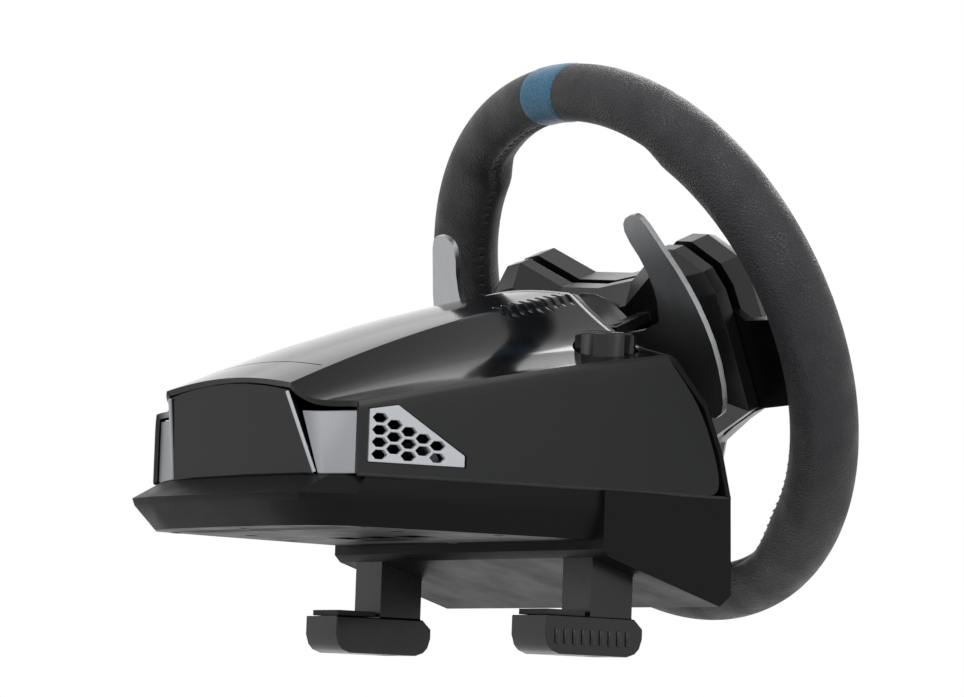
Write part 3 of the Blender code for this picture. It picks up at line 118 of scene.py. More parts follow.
class RacingWheelColours(bpy.types.PropertyGroup):
    gloss_black: colour("Gloss black", "Polished hood and fascia", (0.0045, 0.005, 0.006))
    satin_black: colour("Satin black", "Grained mouldings", (0.0062, 0.0063, 0.0068))
    leather: colour("Leather", "Leather of the rim", (0.0165, 0.0165, 0.0195))
    band_blue: colour("Band blue", "Leather band at the top of the rim", (0.010, 0.160, 0.290))
    thread: colour("Thread", "Stitching on the rim", (0.03, 0.03, 0.032))
    steel: colour("Steel", "Brushed paddles and bright metal", (0.40, 0.407, 0.42))
    aluminium: colour("Aluminium", "Dark anodised spokes", (0.05, 0.051, 0.055))
    silver: colour("Silver", "Metallic silver mouldings", (0.235, 0.241, 0.256))
    # Trim: a painted highlight colour, for the hood lip, the fascia beads and the vent grille
    trim: colour("Trim", "Bright lip and beads on the base", (0.70, 0.71, 0.73))
    rubber: colour("Rubber", "Feet and jaw pads", (0.014, 0.014, 0.014))
    brass: colour("Brass", "Pinions", (0.60, 0.43, 0.17))
    nylon: colour("Nylon", "Gears", (0.72, 0.71, 0.67))
    board: colour("Board", "Control board", (0.02, 0.15, 0.065))
    red: colour("Red", "Selector dial", (0.42, 0.018, 0.016))
    mark: colour("Mark", "Moulded-in signs on buttons", (0.55, 0.56, 0.58))
    paper: colour("Studio white", "Floor and backdrop", (0.86, 0.86, 0.86))


# Working with objects
def begin():
    """Leave edit mode and deselect everything, so an operator acts only on the new piece."""
    if bpy.context.object and bpy.context.object.mode != 'OBJECT':
        bpy.ops.object.mode_set(mode='OBJECT')
    bpy.ops.object.select_all(action='DESELECT')


def named(name):
    made = bpy.context.object
    made.name = name
    made.data.name = name
    return made


def edit(made, steps, kind='VERT'):
    """Run edit-mode operators on the whole of one mesh."""
    begin()
    made.select_set(True)
    bpy.context.view_layer.objects.active = made
    bpy.ops.object.mode_set(mode='EDIT')
    bpy.ops.mesh.select_mode(type=kind)
    bpy.ops.mesh.select_all(action='SELECT')
    steps()
    bpy.ops.object.mode_set(mode='OBJECT')


def tidy_normals(made):
    def steps():
        bpy.ops.mesh.remove_doubles(threshold=TINY)
        bpy.ops.mesh.normals_make_consistent(inside=False)
    edit(made, steps)


def settle(made, place=IDENTITY):
    """Put the piece's place into its mesh and leave the object at the origin."""
    made.data.transform(place @ made.matrix_basis)
    made.matrix_basis = IDENTITY
    if place.determinant() < 0:
        made.data.flip_normals()
    made.data.update()
    return made


def modify(made, name, kind, **values):
    """Add one modifier and apply it."""
    begin()
    made.select_set(True)
    bpy.context.view_layer.objects.active = made
    change = made.modifiers.new(name, kind)
    for key, value in values.items():
        setattr(change, key, value)
    bpy.ops.object.modifier_apply(modifier=name)


def smooth(made, degrees=35):
    begin()
    made.select_set(True)
    bpy.context.view_layer.objects.active = made
    bpy.ops.object.shade_smooth_by_angle(angle=math.radians(degrees))


def dress(made, body, finish, slot, *replaced):
    """Give a finished piece its material, its body and the CAD nodes it stands for."""
    made.data.materials.clear()
    made.data.materials.append(FINISHES[finish])
    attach(made, body)
    if replaced:
        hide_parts(*replaced)
    return made


def extruded(name, outline, low, high):
    """A flat outline pulled up from z low to z high."""
    begin()
    bpy.ops.mesh.primitive_circle_add(vertices=len(outline), radius=1.0, fill_type='NGON')
    made = named(name)
    for vertex, (x, y) in zip(made.data.vertices, outline):
        vertex.co = (x, y, low)
    pull = {"value": (0, 0, high - low)}
    edit(made, lambda: bpy.ops.mesh.extrude_region_move(TRANSFORM_OT_translate=pull))
    tidy_normals(made)
    return made


def copies(name, model, places):
    """One piece from a modelled shape repeated at each place; the shape itself is removed."""
    begin()
    made = []
    for place in places:
        twin = bpy.data.objects.new(name, model.data.copy())
        bpy.context.scene.collection.objects.link(twin)
        settle(twin, place)
        twin.select_set(True)
        made.append(twin)
    bpy.data.objects.remove(model, do_unlink=True)
    bpy.context.view_layer.objects.active = made[0]
    if len(made) > 1:
        bpy.ops.object.join()
    return named(name)


def tube(name, points, radius, level=(0, 1, 0)):
    """A round bead along a run of points, closed at both ends; level is never along the run."""
    begin()
    bpy.ops.mesh.primitive_grid_add(x_subdivisions=len(points) - 1, y_subdivisions=12, size=2.0)
    made = named(name)
    last = len(points) - 1
    for vertex in made.data.vertices:
        i = round((vertex.co.x + 1) / 2 * last)
        turn = math.pi * (vertex.co.y + 1)
        ahead = (points[min(i + 1, last)] - points[max(i - 1, 0)]).normalized()
        side = ahead.cross(Vector(level)).normalized()
        vertex.co = points[i] + radius * (math.cos(turn) * side + math.sin(turn) * ahead.cross(side))
    tidy_normals(made)

    def close():
        bpy.ops.mesh.fill_holes(sides=0)
        bpy.ops.mesh.normals_make_consistent(inside=False)
    edit(made, close)
    smooth(made, 60)
    return made


def cut_by(made, cutter):
    modify(made, "cut", 'BOOLEAN', operation='DIFFERENCE', object=cutter, solver='EXACT')
    bpy.data.objects.remove(cutter, do_unlink=True)


# Shared shader effects: each puts out a colour, a roughness and a bump height
FLOAT = 'NodeSocketFloat'
RGBA = 'NodeSocketColor'
OUTPUTS = (("Colour", RGBA), ("Roughness", FLOAT), ("Height", FLOAT))


def new_group(name, settings):
    """An effect with a colour and its settings as inputs; gives it and its input sockets."""
    group = bpy.data.node_groups.new(name, 'ShaderNodeTree')
    group.interface.new_socket(name="Colour", in_out='INPUT', socket_type=RGBA)
    for socket, value in settings.items():
        made = group.interface.new_socket(name=socket, in_out='INPUT', socket_type=FLOAT)
        made.default_value = value
    for socket, kind in OUTPUTS:
        group.interface.new_socket(name=socket, in_out='OUTPUT', socket_type=kind)
    return group, group.nodes.new('NodeGroupInput').outputs


def put_out(group, *sources):
    """Join an effect's colour, roughness and height to its outputs."""
    out = group.nodes.new('NodeGroupOutput')
    for (socket, _), source in zip(OUTPUTS, sources):
        group.links.new(source, out.inputs[socket])


def node(tree, kind, links=None, **values):
    """Add a node; values set its properties, links set or join its sockets."""
    made = tree.nodes.new(kind)
    for key, value in values.items():
        setattr(made, key, value)
    for socket, source in (links or {}).items():
        if isinstance(source, bpy.types.NodeSocket):
            tree.links.new(source, made.inputs[socket])
        else:
            made.inputs[socket].default_value = source
    return made


def coordinates(tree):
    """Places on the piece in its own frame."""
    return node(tree, 'ShaderNodeTexCoord').outputs["Object"]


def noise(tree, where, scale, detail, roughness=0.5):
    sockets = {"Vector": where, "Scale": scale, "Detail": detail, "Roughness": roughness}
    return node(tree, 'ShaderNodeTexNoise', sockets).outputs


def ranged(tree, value, low, high, bottom, top):
    """A value mapped from one range to another, whose ends may be sockets."""
    ends = {"From Min": low, "From Max": high, "To Min": bottom, "To Max": top}
    return node(tree, 'ShaderNodeMapRange', {"Value": value, **ends}).outputs["Result"]


def maths(tree, operation, *values):
    return node(tree, 'ShaderNodeMath', dict(enumerate(values)), operation=operation).outputs[0]


def vectors(tree, operation, *values):
    return node(tree, 'ShaderNodeVectorMath', dict(enumerate(values)), operation=operation).outputs[0]


def shaded(tree, tone, value):
    """A colour made lighter or darker by a value."""
    return node(tree, 'ShaderNodeHueSaturation', {"Color": tone, "Value": value}).outputs["Color"]


def moulded_group():
    """Fine moulding grain with handling marks: varied roughness, colour and bump height."""
    group, put = new_group("moulded_grain", {"Grain": 2600.0, "Smooth": 0.3, "Rough": 0.45, "Tint": 0.25})
    where = coordinates(group)
    fine = noise(group, where, put["Grain"], 3.0)["Fac"]
    marks = noise(group, where, 38.0, 5.0, 0.62)["Fac"]
    rough = ranged(group, marks, 0.32, 0.7, put["Smooth"], put["Rough"])
    shade = ranged(group, marks, 0.3, 0.75, 1.0, 1.6)
    lift = maths(group, 'ADD', maths(group, 'MULTIPLY', shade, put["Tint"]), 1.0)
    put_out(group, shaded(group, put["Colour"], lift), rough, fine)


def leather_group():
    """Pebbled leather: bent cells and slow creases, with the colour painted darker in the creases between the
    pebbles as shade and lighter on their tops as a painted highlight.
    """
    group, put = new_group("pebbled_leather", {"Pebble": 620.0, "Smooth": 0.38, "Rough": 0.62})
    where = coordinates(group)
    stir = noise(group, where, 260.0, 2.0)["Color"]
    bent = vectors(group, 'ADD', where, vectors(group, 'MULTIPLY', stir, (0.0011, 0.0011, 0.0011)))
    cells = node(group, 'ShaderNodeTexVoronoi', {"Vector": bent, "Scale": put["Pebble"]},
                 feature='DISTANCE_TO_EDGE')
    ridge = ranged(group, cells.outputs["Distance"], 0.0, 0.22, 0.0, 1.0)
    slow = noise(group, where, 70.0, 4.0)["Fac"]
    rough = ranged(group, slow, 0.3, 0.72, put["Smooth"], put["Rough"])
    # Painted shade and highlight: the colour is darker in the creases between pebbles and lighter on their tops
    shade = ranged(group, ridge, 0.0, 1.0, 0.62, 1.25)
    height = maths(group, 'MULTIPLY_ADD', slow, 0.6, ridge)
    put_out(group, shaded(group, put["Colour"], shade), rough, height)


def brushed_group():
    """Brushed metal: long fine scratches along one direction of the piece."""
    group, put = new_group("brushed_metal", {"Along X": 60.0, "Along Y": 2200.0, "Smooth": 0.2, "Rough": 0.4})
    along = {"X": put["Along X"], "Y": put["Along Y"], "Z": put["Along Y"]}
    stretch = node(group, 'ShaderNodeCombineXYZ', along).outputs[0]
    lines = noise(group, vectors(group, 'MULTIPLY', coordinates(group), stretch), 1.0, 4.0)["Fac"]
    rough = ranged(group, lines, 0.3, 0.7, put["Smooth"], put["Rough"])
    shade = ranged(group, lines, 0.3, 0.7, 0.9, 1.06)
    put_out(group, shaded(group, put["Colour"], shade), rough, lines)


def finish(name, group, tone, bump, depth, settings=None, **shader_values):
    """A Principled material fed by one of the shared effects, kept by its short name."""
    made = bpy.data.materials.new(name + "_finish")
    FINISHES[name] = made
    made.use_nodes = True
    tree = made.node_tree
    shader = tree.nodes["Principled BSDF"]
    effect = node(tree, 'ShaderNodeGroup', node_tree=bpy.data.node_groups[group])
    effect.inputs["Colour"].default_value = (*tone, 1.0)
    for socket, value in (settings or {}).items():
        effect.inputs[socket].default_value = value
    for socket, value in shader_values.items():
        shader.inputs[socket.replace("_", " ")].default_value = value
    tree.links.new(effect.outputs["Colour"], shader.inputs["Base Color"])
    tree.links.new(effect.outputs["Roughness"], shader.inputs["Roughness"])
    raised = node(tree, 'ShaderNodeBump',
                  {"Strength": bump, "Distance": depth, "Height": effect.outputs["Height"]})
    tree.links.new(raised.outputs["Normal"], shader.inputs["Normal"])
    return made


WALL_ROUGHER = 0.30       # how much rougher the shell's side walls are than its hood


def shell_finish(tone):
    """The shell's finish: polished hood and satin side walls, told apart by the wall attribute."""
    made = finish("shell_two_tone", "moulded_grain", tone, 0.02, 0.00002,
                  {"Smooth": 0.07, "Rough": 0.15, "Grain": 900.0, "Tint": 0.1},
                  Specular_IOR_Level=0.28)
    tree = made.node_tree
    shader = tree.nodes["Principled BSDF"]
    polished = shader.inputs["Roughness"].links[0].from_socket
    wall = node(tree, 'ShaderNodeAttribute', attribute_name="wall")
    satin = maths(tree, 'ADD', polished, WALL_ROUGHER)
    mixed = node(tree, 'ShaderNodeMix', {0: wall.outputs["Fac"], 2: polished, 3: satin})
    tree.links.new(mixed.outputs[0], shader.inputs["Roughness"])


# Finishes that differ from the piece's material slot, by the start of the piece's name
# The vent grille's bright finish is a painted reflection on a glossy black honeycomb
OWN_FINISH = {"hub_front": "hub_black", "hub_back": "hub_black", "column_shroud": "hub_black",
              "clamp_knob": "hub_black", "clamp_jaw": "hub_black", "vent_grille": "bright_trim"}
# Edge rounding of some pieces, as a share of the usual one, by the first word of their names
EDGE_SHARE = {"vent": 0.35, "paddle": 1.6}
EDGE_ANGLE = math.radians(38)
NOT_ROUNDED = ("main_gear", "pinion")
FACETED = ("hub_front", "hub_back", "main_gear")
FACET_ANGLE = math.radians(12)
WELD_GAP = 0.01 * MM


class RACINGWHEEL_OT_finishes(bpy.types.Operator):
    """Make every finish and put it on the pieces that keep their CAD shape"""
    bl_idname = "racing_wheel.finishes"
    bl_label = "Finishes"

    def execute(self, context):
        tones = context.scene.racing_wheel_colours
        sizes = context.scene.racing_wheel_sizes
        moulded_group()
        leather_group()
        brushed_group()
        finish("gloss_black", "moulded_grain", tones.gloss_black, 0.02, 0.00002,
               {"Smooth": 0.08, "Rough": 0.17, "Grain": 900.0, "Tint": 0.1}, Specular_IOR_Level=0.22)
        shell_finish(tones.gloss_black)
        finish("satin_black", "moulded_grain", tones.satin_black, 0.25, 0.00006,
               {"Smooth": 0.36, "Rough": 0.5}, Specular_IOR_Level=0.1)
        finish("hub_black", "moulded_grain", tones.satin_black, 0.15, 0.00004,
               {"Smooth": 0.22, "Rough": 0.34}, Specular_IOR_Level=0.4)
        finish("leather", "pebbled_leather", tones.leather, 0.4, 0.0005,
               {"Pebble": 640.0}, Sheen_Weight=0.05, Specular_IOR_Level=0.42)
        finish("blue_leather", "pebbled_leather", tones.band_blue, 0.3, 0.0004,
               {"Smooth": 0.28, "Rough": 0.4})
        finish("thread", "pebbled_leather", tones.thread, 0.3, 0.0001, {"Pebble": 2400.0, "Rough": 0.8})
        finish("steel", "brushed_metal", tones.steel, 0.04, 0.00003,
               {"Along X": 2600.0, "Along Y": 40.0, "Smooth": 0.3, "Rough": 0.4}, Metallic=1.0)
        finish("dark_aluminium", "brushed_metal", tones.aluminium, 0.1, 0.00003,
               {"Smooth": 0.3, "Rough": 0.45}, Metallic=1.0)
        finish("rubber", "moulded_grain", tones.rubber, 0.4, 0.0001,
               {"Smooth": 0.7, "Rough": 0.85, "Grain": 1500.0})
        finish("brass", "brushed_metal", tones.brass, 0.08, 0.00003, Metallic=1.0)
        finish("nylon", "moulded_grain", tones.nylon, 0.1, 0.00004,
               {"Smooth": 0.4, "Rough": 0.55, "Tint": 0.08})
        finish("board", "moulded_grain", tones.board, 0.1, 0.00004,
               {"Smooth": 0.3, "Rough": 0.5, "Grain": 700.0})
        finish("silver_plastic", "moulded_grain", tones.silver, 0.03, 0.00003,
               {"Smooth": 0.3, "Rough": 0.36, "Tint": 0.05, "Grain": 1200.0}, Metallic=0.75)
        # A light trim colour that is painted highlight: on the hood lip and fascia beads it stands for highlights
        # along edges, on the vent grille for a reflection
        finish("bright_trim", "moulded_grain", tones.trim, 0.05, 0.00003,
               {"Smooth": 0.2, "Rough": 0.3, "Tint": 0.05})
        finish("red_plastic", "moulded_grain", tones.red, 0.05, 0.00003,
               {"Smooth": 0.2, "Rough": 0.35, "Tint": 0.1})
        finish("mark_print", "moulded_grain", tones.mark, 0.05, 0.00002,
               {"Smooth": 0.4, "Rough": 0.5, "Tint": 0.08})
        slots = {row["node"]: row["material_slot"] for row in frame["record"]["subparts"]}
        for name, piece in NODES.items():
            piece.data.materials.clear()
            own = [made for start, made in OWN_FINISH.items() if name.startswith(start)]
            piece.data.materials.append(FINISHES[own[0] if own else slots[name]])
            self.soften(piece, sizes.edge_round)
        return {'FINISHED'}

    def soften(self, piece, width):
        """Round the small edges of a CAD piece by modifiers, and shade it smooth."""
        weld = piece.modifiers.new("weld", 'WELD')
        weld.merge_threshold = WELD_GAP
        if not piece.name.startswith(NOT_ROUNDED):
            edge = piece.modifiers.new("edge", 'BEVEL')
            edge.width = width * EDGE_SHARE.get(piece.name.split("_")[0], 1.0)
            edge.segments = 2
            edge.limit_method = 'ANGLE'
            edge.angle_limit = EDGE_ANGLE
            edge.use_clamp_overlap = True
        if piece.name in FACETED:
            facet = piece.modifiers.new("facet", 'EDGE_SPLIT')
            facet.split_angle = FACET_ANGLE
        even = piece.modifiers.new("even", 'WEIGHTED_NORMAL')
        even.weight = 90
        piece.data.polygons.foreach_set("use_smooth", [True] * len(piece.data.polygons))


# Leather rim
SEAM_ANGLE = math.pi + math.asin(4.0 / 14.5)      # 4 mm to the base's side of the rim's middle plane
THUMB_START = math.radians(36)
THUMB_BLEND = math.radians(7)
THUMB_END = math.radians(150)
SEAM_SPREAD = 0.11        # half-width of the seam's dent, as an angle of the section
STITCH_COUNT = 132
STITCH_SLANT = math.radians(24)
STITCH_SINK = 0.8 * MM


def ease(value):
    value = min(1.0, max(0.0, value))
    return value * value * (3 - 2 * value)


def rim_point(sizes, angle, turn, rise=0.0):
    """A point of the leather, by angle from the top of the rim and by turn round its section."""
    away = abs((angle + math.pi) % math.tau - math.pi)
    rise_in = ease((away - THUMB_START) / THUMB_BLEND + 0.5)
    swell = min(rise_in, ease((THUMB_END - away) / (3 * THUMB_BLEND) + 0.5))
    inward = max(0.0, -math.cos(turn))
    off = (turn - SEAM_ANGLE + math.pi) % math.tau - math.pi
    dent = sizes.seam_depth * math.exp(-(off / SEAM_SPREAD) ** 2) if rise == 0.0 else 0.0
    radial = (sizes.rim_radial + sizes.thumb_rest * swell * inward + rise - dent) * math.cos(turn)
    axial = (sizes.rim_axial + rise - dent) * math.sin(turn)
    reach = sizes.rim_radius - sizes.rim_radial + radial
    return Vector((reach * math.sin(angle), reach * math.cos(angle), axial))


class RACINGWHEEL_OT_rim(bpy.types.Operator):
    """Model the leather grip, its blue band and its stitching"""
    bl_idname = "racing_wheel.rim"
    bl_label = "Leather Rim"

    def execute(self, context):
        sizes = context.scene.racing_wheel_sizes
        self.grip(sizes)
        self.band(sizes)
        self.stitches(sizes)
        return {'FINISHED'}

    def grip(self, sizes):
        middle = sizes.rim_radius - sizes.rim_radial
        begin()
        bpy.ops.mesh.primitive_torus_add(major_radius=middle, minor_radius=sizes.rim_radial,
                                         major_segments=216, minor_segments=56)
        grip = named("grip_leather")
        for vertex in grip.data.vertices:
            x, y, z = vertex.co
            vertex.co = rim_point(sizes, math.atan2(x, y), math.atan2(z, math.hypot(x, y) - middle))
        tidy_normals(grip)
        settle(grip, WHEEL_PLACE)
        smooth(grip, 60)
        dress(grip, "steering", "leather", "leather", "rim_grip")

    def band(self, sizes):
        half = sizes.band_width / 2 / (sizes.rim_radius - sizes.rim_radial)
        begin()
        bpy.ops.mesh.primitive_grid_add(x_subdivisions=10, y_subdivisions=64, size=2.0)
        band = named("band_leather")
        for vertex in band.data.vertices:
            x, y, _ = vertex.co
            rise = sizes.band_rise * (1.0 if abs(x) < 0.95 else -0.6)
            vertex.co = rim_point(sizes, x * half, SEAM_ANGLE + math.pi * (y + 1), rise)
        tidy_normals(band)
        modify(band, "wall", 'SOLIDIFY', thickness=1.0 * MM, offset=-1.0)
        settle(band, WHEEL_PLACE)
        smooth(band, 50)
        dress(band, "steering", "blue_leather", "blue_leather", "rim_centre_mark")

    def stitches(self, sizes):
        begin()
        bpy.ops.mesh.primitive_uv_sphere_add(segments=8, ring_count=6, radius=0.5)
        stitch = named("stitch")
        stitch.data.transform(Matrix.Diagonal((1.0 * MM, 0.9 * MM, sizes.stitch_length, 1.0)))
        places = []
        for i in range(STITCH_COUNT):
            angle = math.tau * (i + 0.5) / STITCH_COUNT
            seat = rim_point(sizes, angle, SEAM_ANGLE, -STITCH_SINK)
            slant = Matrix.Rotation(-angle, 4, 'Z') @ Matrix.Rotation(STITCH_SLANT, 4, 'Y')
            places.append(WHEEL_PLACE @ Matrix.Translation(seat) @ slant)
        stitching = copies("rim_stitching", stitch, places)
        smooth(stitching, 80)
        dress(stitching, "steering", "thread", "leather")


# Top shell, on the same feature lines as its CAD piece
SHELL_LOW, SHELL_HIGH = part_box("top_shell")
SHELL_REAR = -48 * MM
SHELL_FRONT = SHELL_HIGH.y
CORNER_FRONT = 93 * MM
WALL_FOOT = SHELL_LOW.y
VENT_FRONT = 89 * MM
VENT_PEAK = 76 * MM
VENT_REAR = 45 * MM
VENT_FLOOR = 26 * MM
SHELL_STATIONS = 14
KNOB_GAP = 0.9 * MM
HOOD_SEAM_PLACE = (0, 88 * MM, 80 * MM)
HOOD_SEAM_SPAN = 82 * MM
LOUVRE_COUNT = 9
LOUVRE_START = -4 * MM
LOUVRE_LENGTH = 13 * MM


def shell_lines(y):
    """Half-width, shoulder height, valley and crease of the shell at one distance along it."""
    t = max(0.0, (y - SHELL_REAR) / MM)
    half = SHELL_HIGH.x - (0.085 * t + 0.00047 * t * t) * MM
    shoulder = (80 - 0.155 * t - 0.00035 * t * t) * MM
    valley = Vector(((68 - 0.085 * t) * MM, (87 - 0.12 * t - 0.0008 * t * t) * MM))
    crease = Vector(((36 + 0.07 * t) * MM, (109 - 0.21 * t - 0.00075 * t * t) * MM))
    return half, shoulder, valley, crease


def shell_profile():
    """Cage lines from the wall's foot to the crown: section rule, rear end, front end, crease."""
    foot = SHELL_LOW.z

    def wall(share):
        return lambda h, s, v, c: (h, foot + (s - 4 * MM - foot) * share)

    def flank(share, lift):
        return lambda h, s, v, c: tuple(v.lerp(c, share) + Vector((0, lift)))

    def hood(share):
        return lambda h, s, v, c: (c.x * share, c.y + 4 * MM * (1 - share * share))

    def shelf(share):
        dip = Vector((0, 1.6 * MM * share))
        return lambda h, s, v, c: tuple(Vector((h - 4.5 * MM, s)).lerp(v, share) - dip)

    rear = SHELL_REAR
    front = SHELL_FRONT
    return [
        (wall(0.0), WALL_FOOT, CORNER_FRONT, 1.0),
        (wall(0.33), WALL_FOOT + 5 * MM, CORNER_FRONT, 0.0),
        (wall(0.7), WALL_FOOT + 14 * MM, CORNER_FRONT, 0.0),
        (wall(1.0), rear - 3 * MM, CORNER_FRONT, 0.0),
        (lambda h, s, v, c: (h - 0.6 * MM, s - 0.6 * MM), rear - 1 * MM, CORNER_FRONT, 0.5),
        (shelf(0.0), rear, CORNER_FRONT, 0.0), (shelf(0.6), rear, CORNER_FRONT + 3 * MM, 0.0),
        (flank(0.0, 0.0), rear + 1 * MM, CORNER_FRONT + 7 * MM, 0.0),
        (flank(0.35, -1.5 * MM), rear + 2 * MM, front - 5 * MM, 0.0),
        (flank(0.75, -1.0 * MM), rear + 4 * MM, front - 1 * MM, 0.0),
        (hood(1.0), rear + 5 * MM, front, 0.85), (hood(0.9), rear + 6 * MM, front, 0.0),
        (hood(0.5), rear + 9 * MM, front, 0.0), (hood(0.0), rear + 11 * MM, front, 0.0),
    ]


class RACINGWHEEL_OT_shell(bpy.types.Operator):
    """Model the moulded top shell with its vents, knob wells, louvres and seam"""
    bl_idname = "racing_wheel.shell"
    bl_label = "Top Shell"

    def execute(self, context):
        sizes = context.scene.racing_wheel_sizes
        lines = shell_profile()
        lines = lines + [(None, *line[1:]) for line in reversed(lines[:-1])]
        half_count = (len(lines) + 1) // 2
        begin()
        bpy.ops.mesh.primitive_grid_add(x_subdivisions=len(lines) - 1, y_subdivisions=SHELL_STATIONS - 1,
                                        size=2.0)
        shell = named("shell_moulding")
        columns = {}
        for vertex in shell.data.vertices:
            column = round((vertex.co.x + 1) / 2 * (len(lines) - 1))
            share = (vertex.co.y + 1) / 2
            columns[vertex.index] = column
            mirror = column >= half_count
            rule, rear, front, _ = lines[len(lines) - 1 - column if mirror else column]
            y = rear + (front - rear) * share
            x, z = rule(*shell_lines(y))
            vertex.co = (-x if mirror else x, y, z)
        creased = shell.data.attributes.new("crease_edge", 'FLOAT', 'EDGE')
        for edge in shell.data.edges:
            first, second = (columns[i] for i in edge.vertices)
            if first == second:
                creased.data[edge.index].value = lines[first][3]
        border = [edge for edge in shell.data.edges if self.is_border(shell, edge, columns)]
        for edge in border:
            creased.data[edge.index].value = 1.0
        if shell.data.polygons[0].normal.x < 0:
            shell.data.flip_normals()
        modify(shell, "soft", 'SUBSURF', levels=2, render_levels=2, use_limit_surface=False)
        modify(shell, "wall", 'SOLIDIFY', thickness=sizes.shell_wall, offset=-1.0)
        self.openings(shell, sizes)
        self.paint_walls(shell)
        smooth(shell, 32)
        dress(shell, "base", "shell_two_tone", "gloss_black", "top_shell")
        return {'FINISHED'}

    def is_border(self, shell, edge, columns):
        first, second = (shell.data.vertices[i].co for i in edge.vertices)
        across = columns[edge.vertices[0]] != columns[edge.vertices[1]]
        ends = [min(abs(p.y - end) for end in (SHELL_FRONT, CORNER_FRONT)) for p in (first, second)]
        return across and max(ends) < TINY

    def openings(self, shell, sizes):
        for side in ("left", "right"):
            low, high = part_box("vent_grille_" + side)
            outline = [(VENT_FRONT, VENT_FLOOR), (VENT_FRONT, shell_lines(CORNER_FRONT)[1] - 3 * MM),
                       (VENT_PEAK, shell_lines(VENT_PEAK)[1] - 5 * MM), (VENT_REAR, VENT_FLOOR + 5 * MM),
                       (VENT_REAR, VENT_FLOOR)]
            across = Matrix(((0, 0, 1, 0), (1, 0, 0, 0), (0, 1, 0, 0), (0, 0, 0, 1)))
            hole = settle(extruded("vent_hole", outline, low.x - 8 * MM, high.x + 8 * MM), across)
            tidy_normals(hole)
            cut_by(shell, hole)
            low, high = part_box("clamp_knob_" + side)
            middle = (low + high) / 2
            begin()
            bpy.ops.mesh.primitive_cylinder_add(vertices=64, radius=(high.x - low.x) / 2 + KNOB_GAP,
                                                depth=60 * MM, location=middle)
            cut_by(shell, settle(named("knob_well")))
        self.louvres(shell, sizes)
        begin()
        bpy.ops.mesh.primitive_cube_add(size=1.0, location=HOOD_SEAM_PLACE)
        seam = named("hood_seam")
        seam.data.transform(Matrix.Diagonal((HOOD_SEAM_SPAN, sizes.seam_width, 60 * MM, 1.0)))
        cut_by(shell, settle(seam))

    def louvres(self, shell, sizes):
        begin()
        bpy.ops.mesh.primitive_cube_add(size=1.0)
        slot = named("slot")
        slot.data.transform(Matrix.Diagonal((LOUVRE_LENGTH, sizes.louvre_width, 5 * MM, 1.0)))
        edit(slot, lambda: bpy.ops.mesh.bevel(offset=0.6 * MM, segments=2, affect='EDGES'))
        places = []
        for i in range(LOUVRE_COUNT):
            y = LOUVRE_START - i * sizes.louvre_pitch
            _, _, valley, crease = shell_lines(y)
            slope = math.atan2(crease.y - valley.y, valley.x - crease.x)
            for sign in (-1, 1):
                seat = Vector((sign * (crease.x + 1.5 * MM), y, crease.y + 0.2 * MM))
                places.append(Matrix.Translation(seat) @ Matrix.Rotation(sign * slope * 0.75, 4, 'Y'))
        cut_by(shell, copies("louvre_slots", slot, places))

    def paint_walls(self, shell):
        """Mark the flat side walls, which are satin where the hood is polished."""
        mask = shell.data.attributes.new("wall", 'FLOAT', 'POINT')
        for vertex in shell.data.vertices:
            half, shoulder, _, _ = shell_lines(vertex.co.y)
            below = ease((shoulder - 1.5 * MM - vertex.co.z) / (2 * MM))
            beside = ease((abs(vertex.co.x) - half + 6 * MM) / (3 * MM))
            mask.data[vertex.index].value = below * beside


# Beads on the base: bright ones painted as highlights along edges, and dark ones
SEAL_INSET = 0.5 * MM
SEAL_STEPS = 12


class RACINGWHEEL_OT_trim(bpy.types.Operator):
    """Model the hood's bright lip and the beads beside the fascia, bright beads painted as highlights along edges,
    and the parting seal
    """
    bl_idname = "racing_wheel.trim"
    bl_label = "Trim"

    def execute(self, context):
        sizes = context.scene.racing_wheel_sizes
        right = []
        for rule, rear, _, _ in shell_profile()[6:]:
            x, z = rule(*shell_lines(rear))
            right.append(Vector((x, rear - sizes.lip_radius * 0.3, z - sizes.lip_radius * 0.5)))
        run = right + [Vector((-p.x, p.y, p.z)) for p in reversed(right[:-1])]
        # A bright bead along the hood's rear edge: a painted highlight on that edge
        lip = tube("hood_lip", self.eased(run), sizes.lip_radius)
        dress(lip, "base", "bright_trim", "silver_plastic")
        self.seal(sizes)
        low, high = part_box("front_fascia")
        _, _, _, crease = shell_lines(SHELL_FRONT)
        # Bright beads up the fascia's sides: painted highlights along its edges
        for side, sign in (("left", -1), ("right", 1)):
            foot = Vector((sign * high.x, low.y + 2.4 * MM, low.z + sizes.lip_radius))
            head = Vector((sign * (crease.x - 2.6 * MM), high.y - 0.4 * MM, crease.y - 3.4 * MM))
            run = [foot.lerp(head, i / 6) for i in range(7)]
            bead = tube("fascia_bead_" + side, run, sizes.lip_radius)
            dress(bead, "base", "bright_trim", "silver_plastic")
        return {'FINISHED'}

    def seal(self, sizes):
        """A dark bead in the parting line, from one front corner round the rear to the other."""
        height = SHELL_LOW.z - 0.3 * MM
        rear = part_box("rear_cover")[0].y + SEAL_INSET
        front = CORNER_FRONT - SEAL_INSET
        right = []
        for i in range(SEAL_STEPS + 1):
            y = front + (rear - front) * i / SEAL_STEPS
            right.append(Vector((shell_lines(y)[0] - SEAL_INSET, y, height)))
        across = [Vector((right[-1].x * (1 - 2 * i / 8), rear, height)) for i in range(1, 8)]
        run = right + across + [Vector((-p.x, p.y, p.z)) for p in reversed(right)]
        bead = tube("parting_seal", run, sizes.lip_radius, (0, 0, 1))
        dress(bead, "base", "rubber", "rubber")

    def eased(self, points):
        """Round the corners of a run of points by cutting them twice."""
        for _ in range(2):
            cut = [points[0]]
            for a, b in zip(points, points[1:]):
                cut += [a.lerp(b, 0.25), a.lerp(b, 0.75)]
            points = cut + [points[-1]]
        return points


